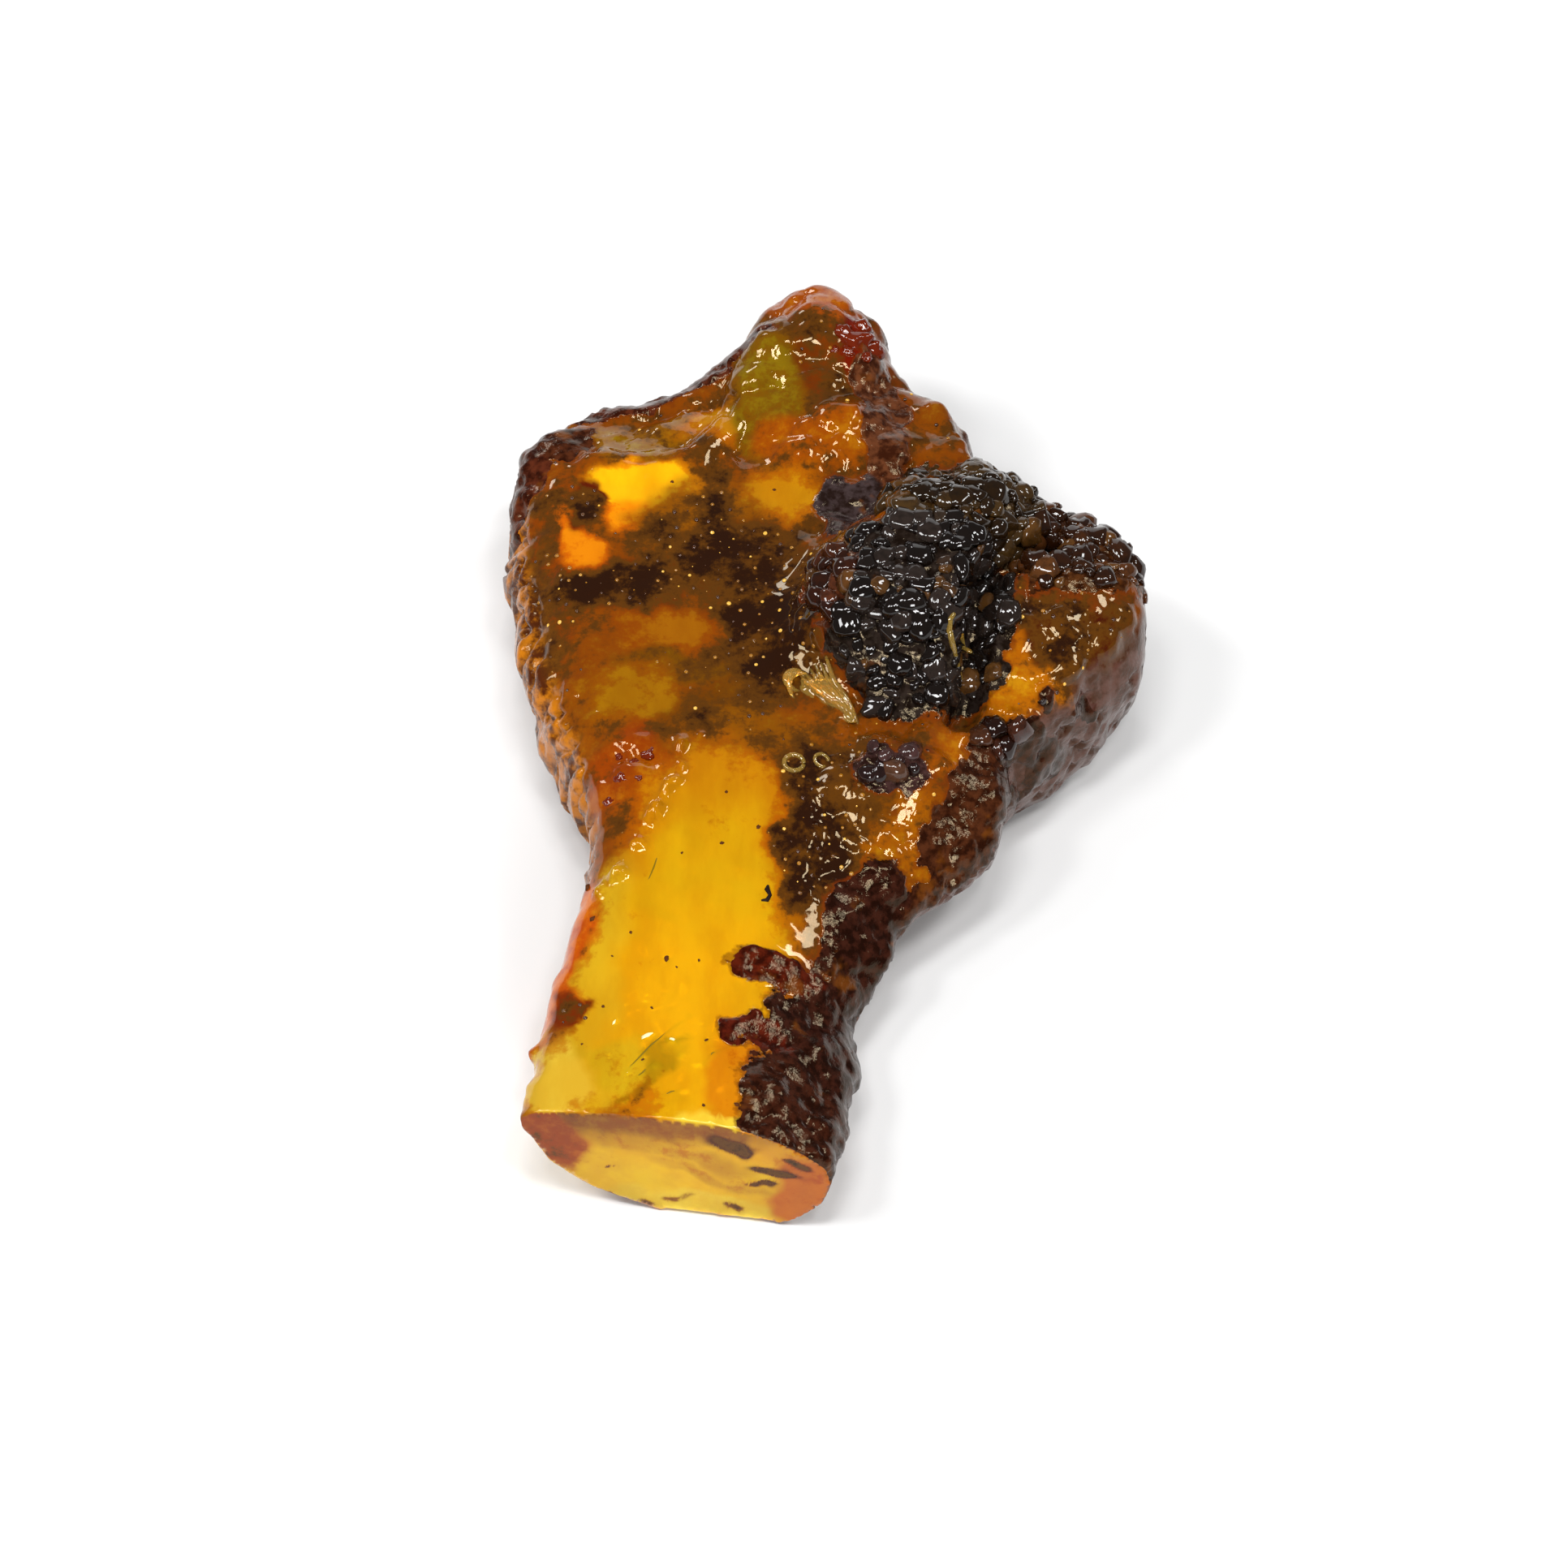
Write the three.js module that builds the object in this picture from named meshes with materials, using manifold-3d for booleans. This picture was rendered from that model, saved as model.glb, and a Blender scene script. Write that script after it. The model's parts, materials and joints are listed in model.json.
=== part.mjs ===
// A raw lump of Baltic amber with a polished, clear neck and a crusted, lobed head.
// One natural body in millimetres, +Z up: the neck points along -Y, and the lump lies on z = 0.
//
// The body is written as a field that is negative inside the amber. A plan outline gives the
// walls, a gently sloping roof and a rounded base close it, and named lobes are blended on to it.
// The field is turned into triangles by surface nets, and two flat faces are cut afterwards:
// the broken end of the neck and the flat patches that the lump rests on.

import * as THREE from 'three';
import { mergeVertices } from 'three/addons/utils/BufferGeometryUtils.js';
import Module from 'manifold-3d';

// ---------------------------------------------------------------- driving dimensions, mm
const CELL = 1.1; // spacing of the surface net
const NECK_ROOF = 7.6; // height of the neck's polished face at the broken end
const HEAD_ROOF = 9.2; // height of the head's flat window
const LOBE_STEP = 1.2; // how far the right lobe's top stands above the window
const ROOF_RAMP = [-20, -4]; // y where the roof starts and stops climbing
const NECK_FALL = 0.05; // how fast the neck's face falls to its right side, from NECK_FALL_FROM on
const NECK_FALL_FROM = -5.5;
const NECK_CROWN = 0.014; // how fast it falls to both sides of NECK_CROWN_LINE
const NECK_CROWN_LINE = -7;
const BACK_FALL = 0.5; // how far the window falls towards the back rim
const ARCH_RISE = 1.6; // how far the underside lifts at the waist, between the two resting patches
const ARCH_CENTRE = -12;
const ARCH_HALF = 9;
const ARCH_STEEPNESS = 1.6;
const BASE_SINK = 0.5; // depth of the rounded underside that the flat resting patches take away
const CUT_DISTANCE = 27.2; // broken end, measured along its normal from the origin
const CUT_TURN = 8.5; // degrees that the broken end is turned towards -X
const CUT_MARGIN = 0.14; // no corner of the net stays nearer than this to a cutting plane
const NUDGE = 0.02; // depth given to a grid corner that is filled to undo a pinch
const LUMP_BLEND = 1.6; // fillet between a lobe and the body
const WAVE_HEIGHT = 0.26; // slow unevenness of the crusted sides
const WAVE_LENGTH = 4.2;
const NET_LOW = [-20, -33, -3]; // corners of the space that the net is laid in
const NET_HIGH = [21, 33, 18];

// Plan outline at the widest level, clockwise from the knob's root.
const OUTLINE = [
  [2.8, 26.0], [4.6, 23.2], [6.8, 20.2], [8.6, 16.4], [11.4, 12.6], [14.6, 10.2],
  [16.5, 7.0], [16.2, 4.4], [14.6, 1.6], [12.2, -1.2], [9.9, -3.2], [9.3, -5.6],
  [8.2, -8.8], [5.9, -12.0], [3.9, -14.8], [2.8, -18.2], [1.5, -22.8], [0.3, -29.0],
  [-8.0, -31.0], [-15.0, -28.5], [-15.1, -23.5], [-14.6, -19.0], [-13.4, -15.0],
  [-12.2, -11.0], [-12.1, -7.2], [-13.5, -3.2], [-15.0, 1.4], [-16.0, 6.6],
  [-16.6, 11.4], [-16.4, 16.2], [-14.2, 20.0], [-9.8, 22.0], [-6.2, 23.4], [-3.6, 25.4],
];

// Lobes that stand proud of the body: centre, radii, turn about Z in degrees.
const LOBES = {
  knob: { at: [-0.2, 25.3, 6.0], radii: [3.8, 4.2, 5.2], turn: 0 },
  oliveDome: { at: [-2.2, 22.4, 8.4], radii: [2.1, 2.8, 2.6], turn: 12 },
  redBead: { at: [1.5, 23.3, 8.8], radii: [1.9, 2.0, 1.8], turn: 0 },
  orangeLumps: { at: [0.8, 17.6, 8.0], radii: [3.2, 2.3, 2.6], turn: 25 },
  backLumps: { at: [5.4, 19.8, 3.8], radii: [3.0, 3.0, 3.2], turn: -40 },
  darkMound: { at: [4.9, 5.6, 7.9], radii: [5.8, 6.2, 6.0], turn: 0 },
  moundBack: { at: [7.4, 9.4, 7.6], radii: [4.0, 4.0, 5.8], turn: 0 },
  moundBrow: { at: [1.4, 3.8, 8.4], radii: [3.0, 3.4, 3.6], turn: 20 },
  rightLobe: { at: [12.4, 5.0, 6.6], radii: [4.1, 5.4, 4.6], turn: -20 },
  brownBump: { at: [3.6, -5.4, 8.3], radii: [2.4, 1.6, 1.7], turn: 8 },
};

// Furrows pressed into the surface: the points they pass through, and their radius.
const FURROWS = [
  {
    through: [[8.8, -3.8, 9.8], [8.2, -0.6, 11.0], [8.3, 3.2, 12.6], [10.0, 7.6, 12.8], [11.2, 12.6, 12.2]],
    radius: 1.5,
  },
  { through: [[10.1, -4.4, 0.5], [9.8, -4.3, 9.0]], radius: 0.9 },
  { through: [[4.6, 25.2, 9.2], [4.2, 18.8, 11.2], [0.6, 13.8, 11.4]], radius: 1.6 },
];
const FURROW_BLEND = 0.9;

// Rounding of the walls into the roof and into the base: [sideways, upright] radii.
const ROOF_ROUND = {
  cutEnd: [1.3, 1.0],
  neck: [2.8, 2.4],
  left: [3.6, 3.4],
  back: [2.2, 2.0],
  right: [1.5, 1.5],
};
const BASE_ROUND = { neck: [1.6, 1.6], left: [6.2, 4.6], right: [4.4, 3.2] };

// The neck's rounded underside: its lowest line, and how far and how high each side curves up.
const KEEL_X = -4.4;
const KEEL_LEFT = [10.3, 6.3];
const KEEL_RIGHT = [5.0, 5.0];
const KEEL_SPREAD = 0.27; // how much wider its right side gets for each mm away from the broken end

// ---------------------------------------------------------------- small helpers
const clamp = (value, low, high) => Math.min(high, Math.max(low, value));
const mix = (a, b, t) => a + (b - a) * t;
const mixPair = (a, b, t) => [mix(a[0], b[0], t), mix(a[1], b[1], t)];
const degrees = (angle) => (angle * Math.PI) / 180;

function ramp(value, start, stop) {
  const t = clamp((value - start) / (stop - start), 0, 1);
  return t * t * (3 - 2 * t);
}

function smoothUnion(a, b, k) {
  const h = clamp(0.5 + (0.5 * (b - a)) / k, 0, 1);
  return mix(b, a, h) - k * h * (1 - h);
}

const smoothCut = (a, b, k) => -smoothUnion(-a, b, k);

// Two surfaces that meet in an elliptical rounding, radii [a's, b's].
function roundedMeet(a, b, radii) {
  const u = a / radii[0] + 1;
  const v = b / radii[1] + 1;
  const scale = Math.min(radii[0], radii[1]);
  if (u > 0 && v > 0) return (Math.hypot(u, v) - 1) * scale;
  return (Math.max(u, v) - 1) * scale;
}

// ---------------------------------------------------------------- parts of the field
const outlineCurve = new THREE.CatmullRomCurve3(
  OUTLINE.map(([x, y]) => new THREE.Vector3(x, y, 0)), true, 'centripetal');
const outlinePoints = outlineCurve.getPoints(OUTLINE.length * 5);

// Signed distance to the plan outline, negative inside.
function wallDistance(x, y) {
  let nearest = Infinity;
  let inside = false;
  for (let i = 0, j = outlinePoints.length - 1; i < outlinePoints.length; j = i, i += 1) {
    const p = outlinePoints[i];
    const q = outlinePoints[j];
    const ex = q.x - p.x;
    const ey = q.y - p.y;
    const length = ex * ex + ey * ey;
    const t = length > 0 ? clamp(((x - p.x) * ex + (y - p.y) * ey) / length, 0, 1) : 0;
    nearest = Math.min(nearest, Math.hypot(x - p.x - ex * t, y - p.y - ey * t));
    const crosses = p.y > y !== q.y > y;
    if (crosses && x < (ex * (y - p.y)) / ey + p.x) inside = !inside;
  }
  return inside ? -nearest : nearest;
}

// The polished face climbs from the neck to the head, and the right lobe stands a step higher.
function roofHeight(x, y) {
  const along = mix(NECK_ROOF, HEAD_ROOF, ramp(y, ...ROOF_RAMP));
  const neckFall = NECK_FALL * Math.max(0, x - NECK_FALL_FROM) ** 2 * (1 - ramp(y, -20, -10));
  const neckCrown = NECK_CROWN * (x - NECK_CROWN_LINE) ** 2 * (1 - ramp(y, -12, -4));
  const backFall = BACK_FALL * ramp(y, 13, 21) * ramp(-x, 2, 8);
  const lobeStep = LOBE_STEP * ramp(x, 7, 10) * ramp(y, -4, 0);
  return along - neckFall - neckCrown - backFall + lobeStep;
}

// Height of the neck's rounded underside above the ground.
function keelHeight(x, y) {
  const spread = x < KEEL_X ? 0 : KEEL_SPREAD * Math.max(0, y + CUT_DISTANCE);
  const [reach, rise] = x < KEEL_X ? KEEL_LEFT : KEEL_RIGHT;
  const t = Math.min(Math.abs(x - KEEL_X) / (reach + spread), 0.99);
  return rise * (1 - Math.sqrt(1 - t * t));
}

function baseHeight(x, y) {
  const t = (y - ARCH_CENTRE) / ARCH_HALF;
  const arch = ARCH_RISE * Math.exp(-t * t * ARCH_STEEPNESS);
  return arch + keelHeight(x, y) * (1 - ramp(y, -15, -3)) - BASE_SINK;
}

function ellipsoid(x, y, z, { at, radii, turn }) {
  const cos = Math.cos(degrees(turn));
  const sin = Math.sin(degrees(turn));
  const dx = x - at[0];
  const dy = y - at[1];
  const u = (dx * cos + dy * sin) / radii[0];
  const v = (-dx * sin + dy * cos) / radii[1];
  const w = (z - at[2]) / radii[2];
  const near = Math.hypot(u, v, w);
  const slope = Math.hypot(u / radii[0], v / radii[1], w / radii[2]);
  return slope > 1e-9 ? (near * (near - 1)) / slope : -Math.min(...radii);
}

function furrowDistance(x, y, z, { through, radius }) {
  const here = new THREE.Vector3(x, y, z);
  const nearest = new THREE.Vector3();
  let distance = Infinity;
  for (let i = 1; i < through.length; i += 1) {
    const span = new THREE.Line3(new THREE.Vector3(...through[i - 1]), new THREE.Vector3(...through[i]));
    span.closestPointToPoint(here, true, nearest);
    distance = Math.min(distance, nearest.distanceTo(here));
  }
  return distance - radius;
}

// Slow waves over the crusted sides; the polished face and the broken end stay smooth.
function waves(x, y, z) {
  const k = (2 * Math.PI) / WAVE_LENGTH;
  const a = Math.sin(k * (x + 0.6 * z)) * Math.sin(k * (y - 0.4 * x) + 1.3);
  const b = Math.sin(k * 1.7 * (y + 0.5 * z) + 0.7) * Math.sin(k * 1.6 * (z - 0.3 * x) + 2.1);
  const polished = ramp(z, 6.2, 7.4) * ramp(-x, -1.5, 1.5);
  return WAVE_HEIGHT * (a + 0.7 * b) * (1 - polished);
}

function field(x, y, z) {
  const wall = wallDistance(x, y);
  const toHead = ramp(y, -12, -2);
  const toRight = ramp(x, -7, 3);
  const toBack = ramp(y, 13, 18);
  const neckRoof = mixPair(ROOF_ROUND.cutEnd, ROOF_ROUND.neck, ramp(y, -25, -18));
  const leftRoof = mixPair(ROOF_ROUND.left, ROOF_ROUND.back, toBack);
  const headRoof = mixPair(leftRoof, ROOF_ROUND.right, toRight);
  const headBase = mixPair(BASE_ROUND.left, BASE_ROUND.right, toRight);
  const roof = z - roofHeight(x, y);
  const base = baseHeight(x, y) - z;
  let body = roundedMeet(wall, roof, mixPair(neckRoof, headRoof, toHead));
  body = roundedMeet(body, base, mixPair(BASE_ROUND.neck, headBase, toHead));
  for (const lobe of Object.values(LOBES)) {
    body = smoothUnion(body, ellipsoid(x, y, z, lobe), LUMP_BLEND);
  }
  for (const furrow of FURROWS) {
    body = smoothCut(body, furrowDistance(x, y, z, furrow), FURROW_BLEND);
  }
  return body + waves(x, y, z);
}

// ---------------------------------------------------------------- surface nets
// Where the signs alternate round a grid face the surface would pinch, so the outer corner that
// lies nearest to the surface is filled. Corners are only ever filled, so repeating this ends.
function settlePinches(value, count, index) {
  const stride = [1, count[0], count[0] * count[1]];
  let changed = 0;
  for (let k = 0; k < count[2] - 1; k += 1)
    for (let j = 0; j < count[1] - 1; j += 1)
      for (let i = 0; i < count[0] - 1; i += 1)
        for (let axis = 0; axis < 3; axis += 1) {
          const a = index(i, j, k);
          const u = stride[(axis + 1) % 3];
          const v = stride[(axis + 2) % 3];
          const face = [a, a + u, a + u + v, a + v];
          const [s0, s1, s2, s3] = face.map((n) => value[n] < 0);
          if (s0 !== s2 || s1 !== s3 || s0 === s1) continue;
          const outside = face.filter((n) => value[n] >= 0);
          const weakest = value[outside[0]] < value[outside[1]] ? outside[0] : outside[1];
          value[weakest] = -NUDGE;
          changed += 1;
        }
  return changed;
}

// One vertex for each cell that the surface crosses, one quad for each crossed grid edge.
function surfaceNet(low, high, cell) {
  const count = low.map((l, i) => Math.ceil((high[i] - l) / cell) + 1);
  const index = (i, j, k) => i + count[0] * (j + count[1] * k);
  const value = new Float64Array(count[0] * count[1] * count[2]);
  const place = (i, j, k) => [low[0] + i * cell, low[1] + j * cell, low[2] + k * cell];
  for (let k = 0; k < count[2]; k += 1)
    for (let j = 0; j < count[1]; j += 1)
      for (let i = 0; i < count[0]; i += 1) value[index(i, j, k)] = field(...place(i, j, k));

  while (settlePinches(value, count, index) > 0);

  const corners = [];
  for (let n = 0; n < 8; n += 1) corners.push([n & 1, (n >> 1) & 1, (n >> 2) & 1]);
  const vertexOf = new Int32Array(value.length).fill(-1);
  const vertices = [];
  for (let k = 0; k < count[2] - 1; k += 1)
    for (let j = 0; j < count[1] - 1; j += 1)
      for (let i = 0; i < count[0] - 1; i += 1) {
        const sum = [0, 0, 0];
        let crossings = 0;
        for (let a = 0; a < 8; a += 1)
          for (let axis = 0; axis < 3; axis += 1) {
            if (corners[a][axis]) continue;
            const b = a | (1 << axis);
            const va = value[index(i + corners[a][0], j + corners[a][1], k + corners[a][2])];
            const vb = value[index(i + corners[b][0], j + corners[b][1], k + corners[b][2])];
            if (va < 0 === vb < 0) continue;
            const t = va / (va - vb);
            for (let c = 0; c < 3; c += 1) sum[c] += corners[a][c] + (c === axis ? t : 0);
            crossings += 1;
          }
        if (crossings === 0) continue;
        vertexOf[index(i, j, k)] = vertices.length;
        const corner = place(i, j, k);
        vertices.push(corner.map((c, n) => c + (sum[n] / crossings) * cell));
      }

  const triangles = [];
  const apart = (a, b) => Math.hypot(...vertices[a].map((c, n) => c - vertices[b][n]));
  for (let k = 1; k < count[2] - 1; k += 1)
    for (let j = 1; j < count[1] - 1; j += 1)
      for (let i = 1; i < count[0] - 1; i += 1)
        for (let axis = 0; axis < 3; axis += 1) {
          const step = [0, 0, 0];
          step[axis] = 1;
          const here = value[index(i, j, k)] < 0;
          const next = value[index(i + step[0], j + step[1], k + step[2])] < 0;
          if (here === next) continue;
          const u = (axis + 1) % 3;
          const v = (axis + 2) % 3;
          const ring = [[0, 0], [-1, 0], [-1, -1], [0, -1]].map(([du, dv]) => {
            const at = [i, j, k];
            at[u] += du;
            at[v] += dv;
            return vertexOf[index(...at)];
          });
          if (!here) ring.reverse();
          const [a, b, c, d] = ring;
          if (apart(a, c) < apart(b, d)) triangles.push(a, b, c, a, c, d);
          else triangles.push(a, b, d, b, c, d);
        }
  return { vertices, triangles };
}

// ---------------------------------------------------------------- cutting
const wasm = await Module();
wasm.setup();

function solidFrom(positions, triangles) {
  const mesh = new wasm.Mesh({
    numProp: 3,
    vertProperties: new Float32Array(positions),
    triVerts: new Uint32Array(triangles),
  });
  return new wasm.Manifold(mesh);
}

// A cutting block, as a closed mesh with shared corners.
function block(size, matrix) {
  const geometry = new THREE.BoxGeometry(...size);
  geometry.deleteAttribute('normal');
  geometry.deleteAttribute('uv');
  geometry.applyMatrix4(matrix);
  const merged = mergeVertices(geometry);
  return solidFrom(merged.attributes.position.array, merged.index.array);
}

const BLOCK = 80; // side of the cutting blocks, well past the lump
const ground = { normal: new THREE.Vector3(0, 0, -1), offset: 0 };
const brokenEnd = {
  normal: new THREE.Vector3(-Math.sin(degrees(CUT_TURN)), -Math.cos(degrees(CUT_TURN)), 0),
  offset: CUT_DISTANCE,
};

// The block that takes away all that lies past a plane.
function blockPast({ normal, offset }) {
  const turn = new THREE.Quaternion().setFromUnitVectors(new THREE.Vector3(0, 0, 1), normal);
  const centre = normal.clone().multiplyScalar(offset + BLOCK / 2);
  const matrix = new THREE.Matrix4().compose(centre, turn, new THREE.Vector3(1, 1, 1));
  return block([BLOCK, BLOCK, BLOCK], matrix);
}

// Corners that lie almost on a cutting plane are moved off it, so that the cut leaves no slivers.
function keepClear(vertices, { normal, offset }) {
  for (const vertex of vertices) {
    const height = vertex[0] * normal.x + vertex[1] * normal.y + vertex[2] * normal.z - offset;
    if (Math.abs(height) >= CUT_MARGIN) continue;
    const shift = (height < 0 ? -CUT_MARGIN : CUT_MARGIN) - height;
    vertex[0] += normal.x * shift;
    vertex[1] += normal.y * shift;
    vertex[2] += normal.z * shift;
  }
}

function buildAmber() {
  const net = surfaceNet(NET_LOW, NET_HIGH, CELL);
  keepClear(net.vertices, ground);
  keepClear(net.vertices, brokenEnd);
  const lump = solidFrom(net.vertices.flat(), net.triangles);
  const trimmed = lump.subtract(blockPast(ground)).subtract(blockPast(brokenEnd));
  const mesh = trimmed.getMesh();
  const geometry = new THREE.BufferGeometry();
  geometry.setAttribute('position', new THREE.BufferAttribute(new Float32Array(mesh.vertProperties), 3));
  geometry.setIndex(new THREE.BufferAttribute(new Uint32Array(mesh.triVerts), 1));
  geometry.computeBoundingBox();
  const box = geometry.boundingBox;
  geometry.translate(-(box.min.x + box.max.x) / 2, -(box.min.y + box.max.y) / 2, -box.min.z);
  geometry.computeVertexNormals();
  return geometry;
}

const amberFinish = new THREE.MeshStandardMaterial({ color: 0xc07a10, roughness: 0.18, metalness: 0 });
const amber = new THREE.Mesh(buildAmber(), amberFinish);
amber.name = 'amber_piece';

const piece = new THREE.Group();
piece.add(amber);

export default piece;
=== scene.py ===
# %% [markdown]
# # A raw lump of Baltic amber
# The lump is one natural body: a polished, clear neck that ends in a broken face, and a wide head
# under a dark, bubbly crust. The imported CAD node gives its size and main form. Here a copy of that
# node is refined into a fine surface, the crust and the colours are laid over it, and what is
# sealed in the resin is put inside. We load the frame first and keep its box, because nothing that
# is made here may outgrow it.

# %% Load the frame
import bpy
import bmesh
import json
import math
import random
from mathutils import Matrix, Vector, noise
from mathutils.bvhtree import BVHTree

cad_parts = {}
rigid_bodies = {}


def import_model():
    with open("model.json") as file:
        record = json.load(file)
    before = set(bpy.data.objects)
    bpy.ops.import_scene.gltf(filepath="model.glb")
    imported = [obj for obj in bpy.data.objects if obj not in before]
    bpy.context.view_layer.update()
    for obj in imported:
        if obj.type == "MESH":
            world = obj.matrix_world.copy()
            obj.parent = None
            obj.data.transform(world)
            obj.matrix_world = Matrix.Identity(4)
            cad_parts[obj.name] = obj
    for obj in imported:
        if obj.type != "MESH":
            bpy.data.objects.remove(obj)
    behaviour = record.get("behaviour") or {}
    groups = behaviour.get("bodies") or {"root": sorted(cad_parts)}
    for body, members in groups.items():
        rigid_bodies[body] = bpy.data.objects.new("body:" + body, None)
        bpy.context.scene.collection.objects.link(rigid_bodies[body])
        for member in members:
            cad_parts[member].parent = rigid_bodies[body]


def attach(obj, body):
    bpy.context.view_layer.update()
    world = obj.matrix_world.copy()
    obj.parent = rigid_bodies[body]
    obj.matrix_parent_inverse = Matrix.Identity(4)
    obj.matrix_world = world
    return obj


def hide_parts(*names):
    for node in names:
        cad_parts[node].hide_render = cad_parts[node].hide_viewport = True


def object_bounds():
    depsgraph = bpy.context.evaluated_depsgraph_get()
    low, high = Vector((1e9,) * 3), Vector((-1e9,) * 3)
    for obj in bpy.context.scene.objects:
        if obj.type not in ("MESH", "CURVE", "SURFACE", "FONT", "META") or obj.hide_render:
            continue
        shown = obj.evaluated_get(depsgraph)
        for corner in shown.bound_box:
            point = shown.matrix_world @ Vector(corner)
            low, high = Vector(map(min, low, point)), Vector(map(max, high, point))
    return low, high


for leftover in list(bpy.data.objects):
    bpy.data.objects.remove(leftover)
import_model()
cad_low, cad_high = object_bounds()
MM = 0.001
print("CAD box, mm:", [round(v / MM, 1) for v in (*cad_low, *cad_high)])

# %% [markdown]
# ## The camera
# The lump is seen from the front, looking down at half a right angle and a little more. A long lens
# keeps its perspective flat, as in a close-up taken from a third of a metre away.

# %% Camera
LOOK_AT = Vector((-2.1, -4.1, 5.0)) * MM
LOOK_DOWN = math.radians(50)
DISTANCE = 0.30  # metres
FRAME_WIDTH = 0.0805  # what the camera takes in at the lump, in metres
SENSOR = 36.0  # mm

camera_data = bpy.data.cameras.new("camera")
camera_data.sensor_width = SENSOR
camera_data.lens = SENSOR * DISTANCE / FRAME_WIDTH
camera_data.clip_start = 0.01
camera = bpy.data.objects.new("camera", camera_data)
bpy.context.scene.collection.objects.link(camera)
back = Vector((0, -math.cos(LOOK_DOWN), math.sin(LOOK_DOWN)))
camera.location = LOOK_AT + back * DISTANCE
camera.rotation_euler = (-back).to_track_quat("-Z", "Y").to_euler()
bpy.context.scene.camera = camera
print("lens, mm:", round(camera_data.lens, 1))

# %% [markdown]
# ## Small helpers
# One function turns an sRGB hex colour to the linear values that the shader wants. One adds a node
# with its settings and its links. A ramp eases from 0 to 1 between two values, and two colours mix
# by a share. The vector noise in mathutils starts from the clock, so a fixed one is made here from
# three plain noises.


# %% Helpers
def linear(hex_colour):
    """sRGB hex, such as "F0B000", as a linear RGBA colour."""
    channels = [int(hex_colour[i:i + 2], 16) / 255 for i in (0, 2, 4)]
    return [c / 12.92 if c <= 0.04045 else ((c + 0.055) / 1.055) ** 2.4 for c in channels] + [1.0]


def add(tree, kind, settings=None, **inputs):
    """A node of the kind; an input is a value or the output socket that feeds it."""
    node = tree.nodes.new(kind)
    for name, value in (settings or {}).items():
        setattr(node, name, value)
    for name, value in inputs.items():
        key = int(name[1:]) if name[0] == "i" and name[1:].isdigit() else name.replace("_", " ")
        socket = node.inputs[key]
        if isinstance(value, bpy.types.NodeSocket):
            tree.links.new(value, socket)
        else:
            socket.default_value = value
    return node


def ramp(value, start, stop):
    t = min(1.0, max(0.0, (value - start) / (stop - start)))
    return t * t * (3 - 2 * t)


def mix_colour(a, b, t):
    return [p + (q - p) * t for p, q in zip(a, b)]


def wobble(point):
    """Three smooth noises as a vector, the same in every run."""
    return Vector(noise.noise(point + Vector((shift, 0, 0))) for shift in (0.0, 31.4, 67.2))


print("honey in linear values:", [round(v, 3) for v in linear("E09A10")[:3]])


# %% [markdown]
# ## Where things are on the lump
# Every place below is in millimetres in the frame: x to the right, y away from the broken end, z up.
# A patch is an ellipse in plan, with two radii and a turn in degrees. Patches are soft, and their
# edges are bent by noise later, because stains in resin have no straight or even outline.

# %% Named patches
CRUST = [  # opaque, weathered bark on the top: centre, radii, turn, strength, colour
    ("neck crust, front", (-0.4, -26.0), (4.0, 4.0), 10, 1.0, "36170C"),
    ("neck crust, middle", (0.5, -21.4), (3.5, 4.6), 0, 1.0, "30140C"),
    ("upper tongue", (-2.6, -17.9), (2.0, 0.9), -12, 0.9, "4A1406"),
    ("lower tongue", (-3.3, -21.6), (1.8, 1.0), 8, 0.9, "4A1408"),
    ("neck crust, back", (2.0, -15.6), (2.6, 4.4), -22, 1.0, "30140C"),
    ("shoulder edge", (6.8, -9.4), (1.5, 5.4), -32, 0.8, "42200F"),
    ("dark mound", (5.0, 2.8), (5.0, 6.2), -8, 1.3, "241C18"),
    ("mound back", (7.6, 9.8), (5.0, 4.4), 0, 1.2, "38260F"),
    ("reddish lobe", (0.6, 3.6), (1.6, 3.0), 8, 1.0, "4A2412"),
    ("right lobe", (13.6, 8.0), (4.2, 5.2), -14, 0.9, "46260F"),
    ("lobe front edge", (11.2, -3.5), (4.4, 1.0), 28, 1.0, "35190E"),
    ("purple bump", (3.4, -7.0), (2.2, 1.4), 8, 0.8, "3C2624"),
    ("brown skin behind the knob", (3.2, 17.0), (1.5, 5.6), 4, 0.9, "5C321C"),
    ("skin beside the mound", (1.6, 11.4), (2.2, 2.4), 30, 0.8, "3A2E2E"),
    ("rim, left", (-15.9, 14.0), (0.9, 3.4), -12, 0.9, "4C2010"),
    ("rim, corner", (-13.6, 16.4), (1.8, 1.6), 30, 0.9, "45200F"),
    ("rim, back", (-9.6, 20.2), (5.2, 1.0), 17, 0.9, "4C2010"),
    ("rim, to the knob", (-5.2, 22.4), (2.2, 1.0), 30, 0.8, "4C2010"),
]
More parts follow.
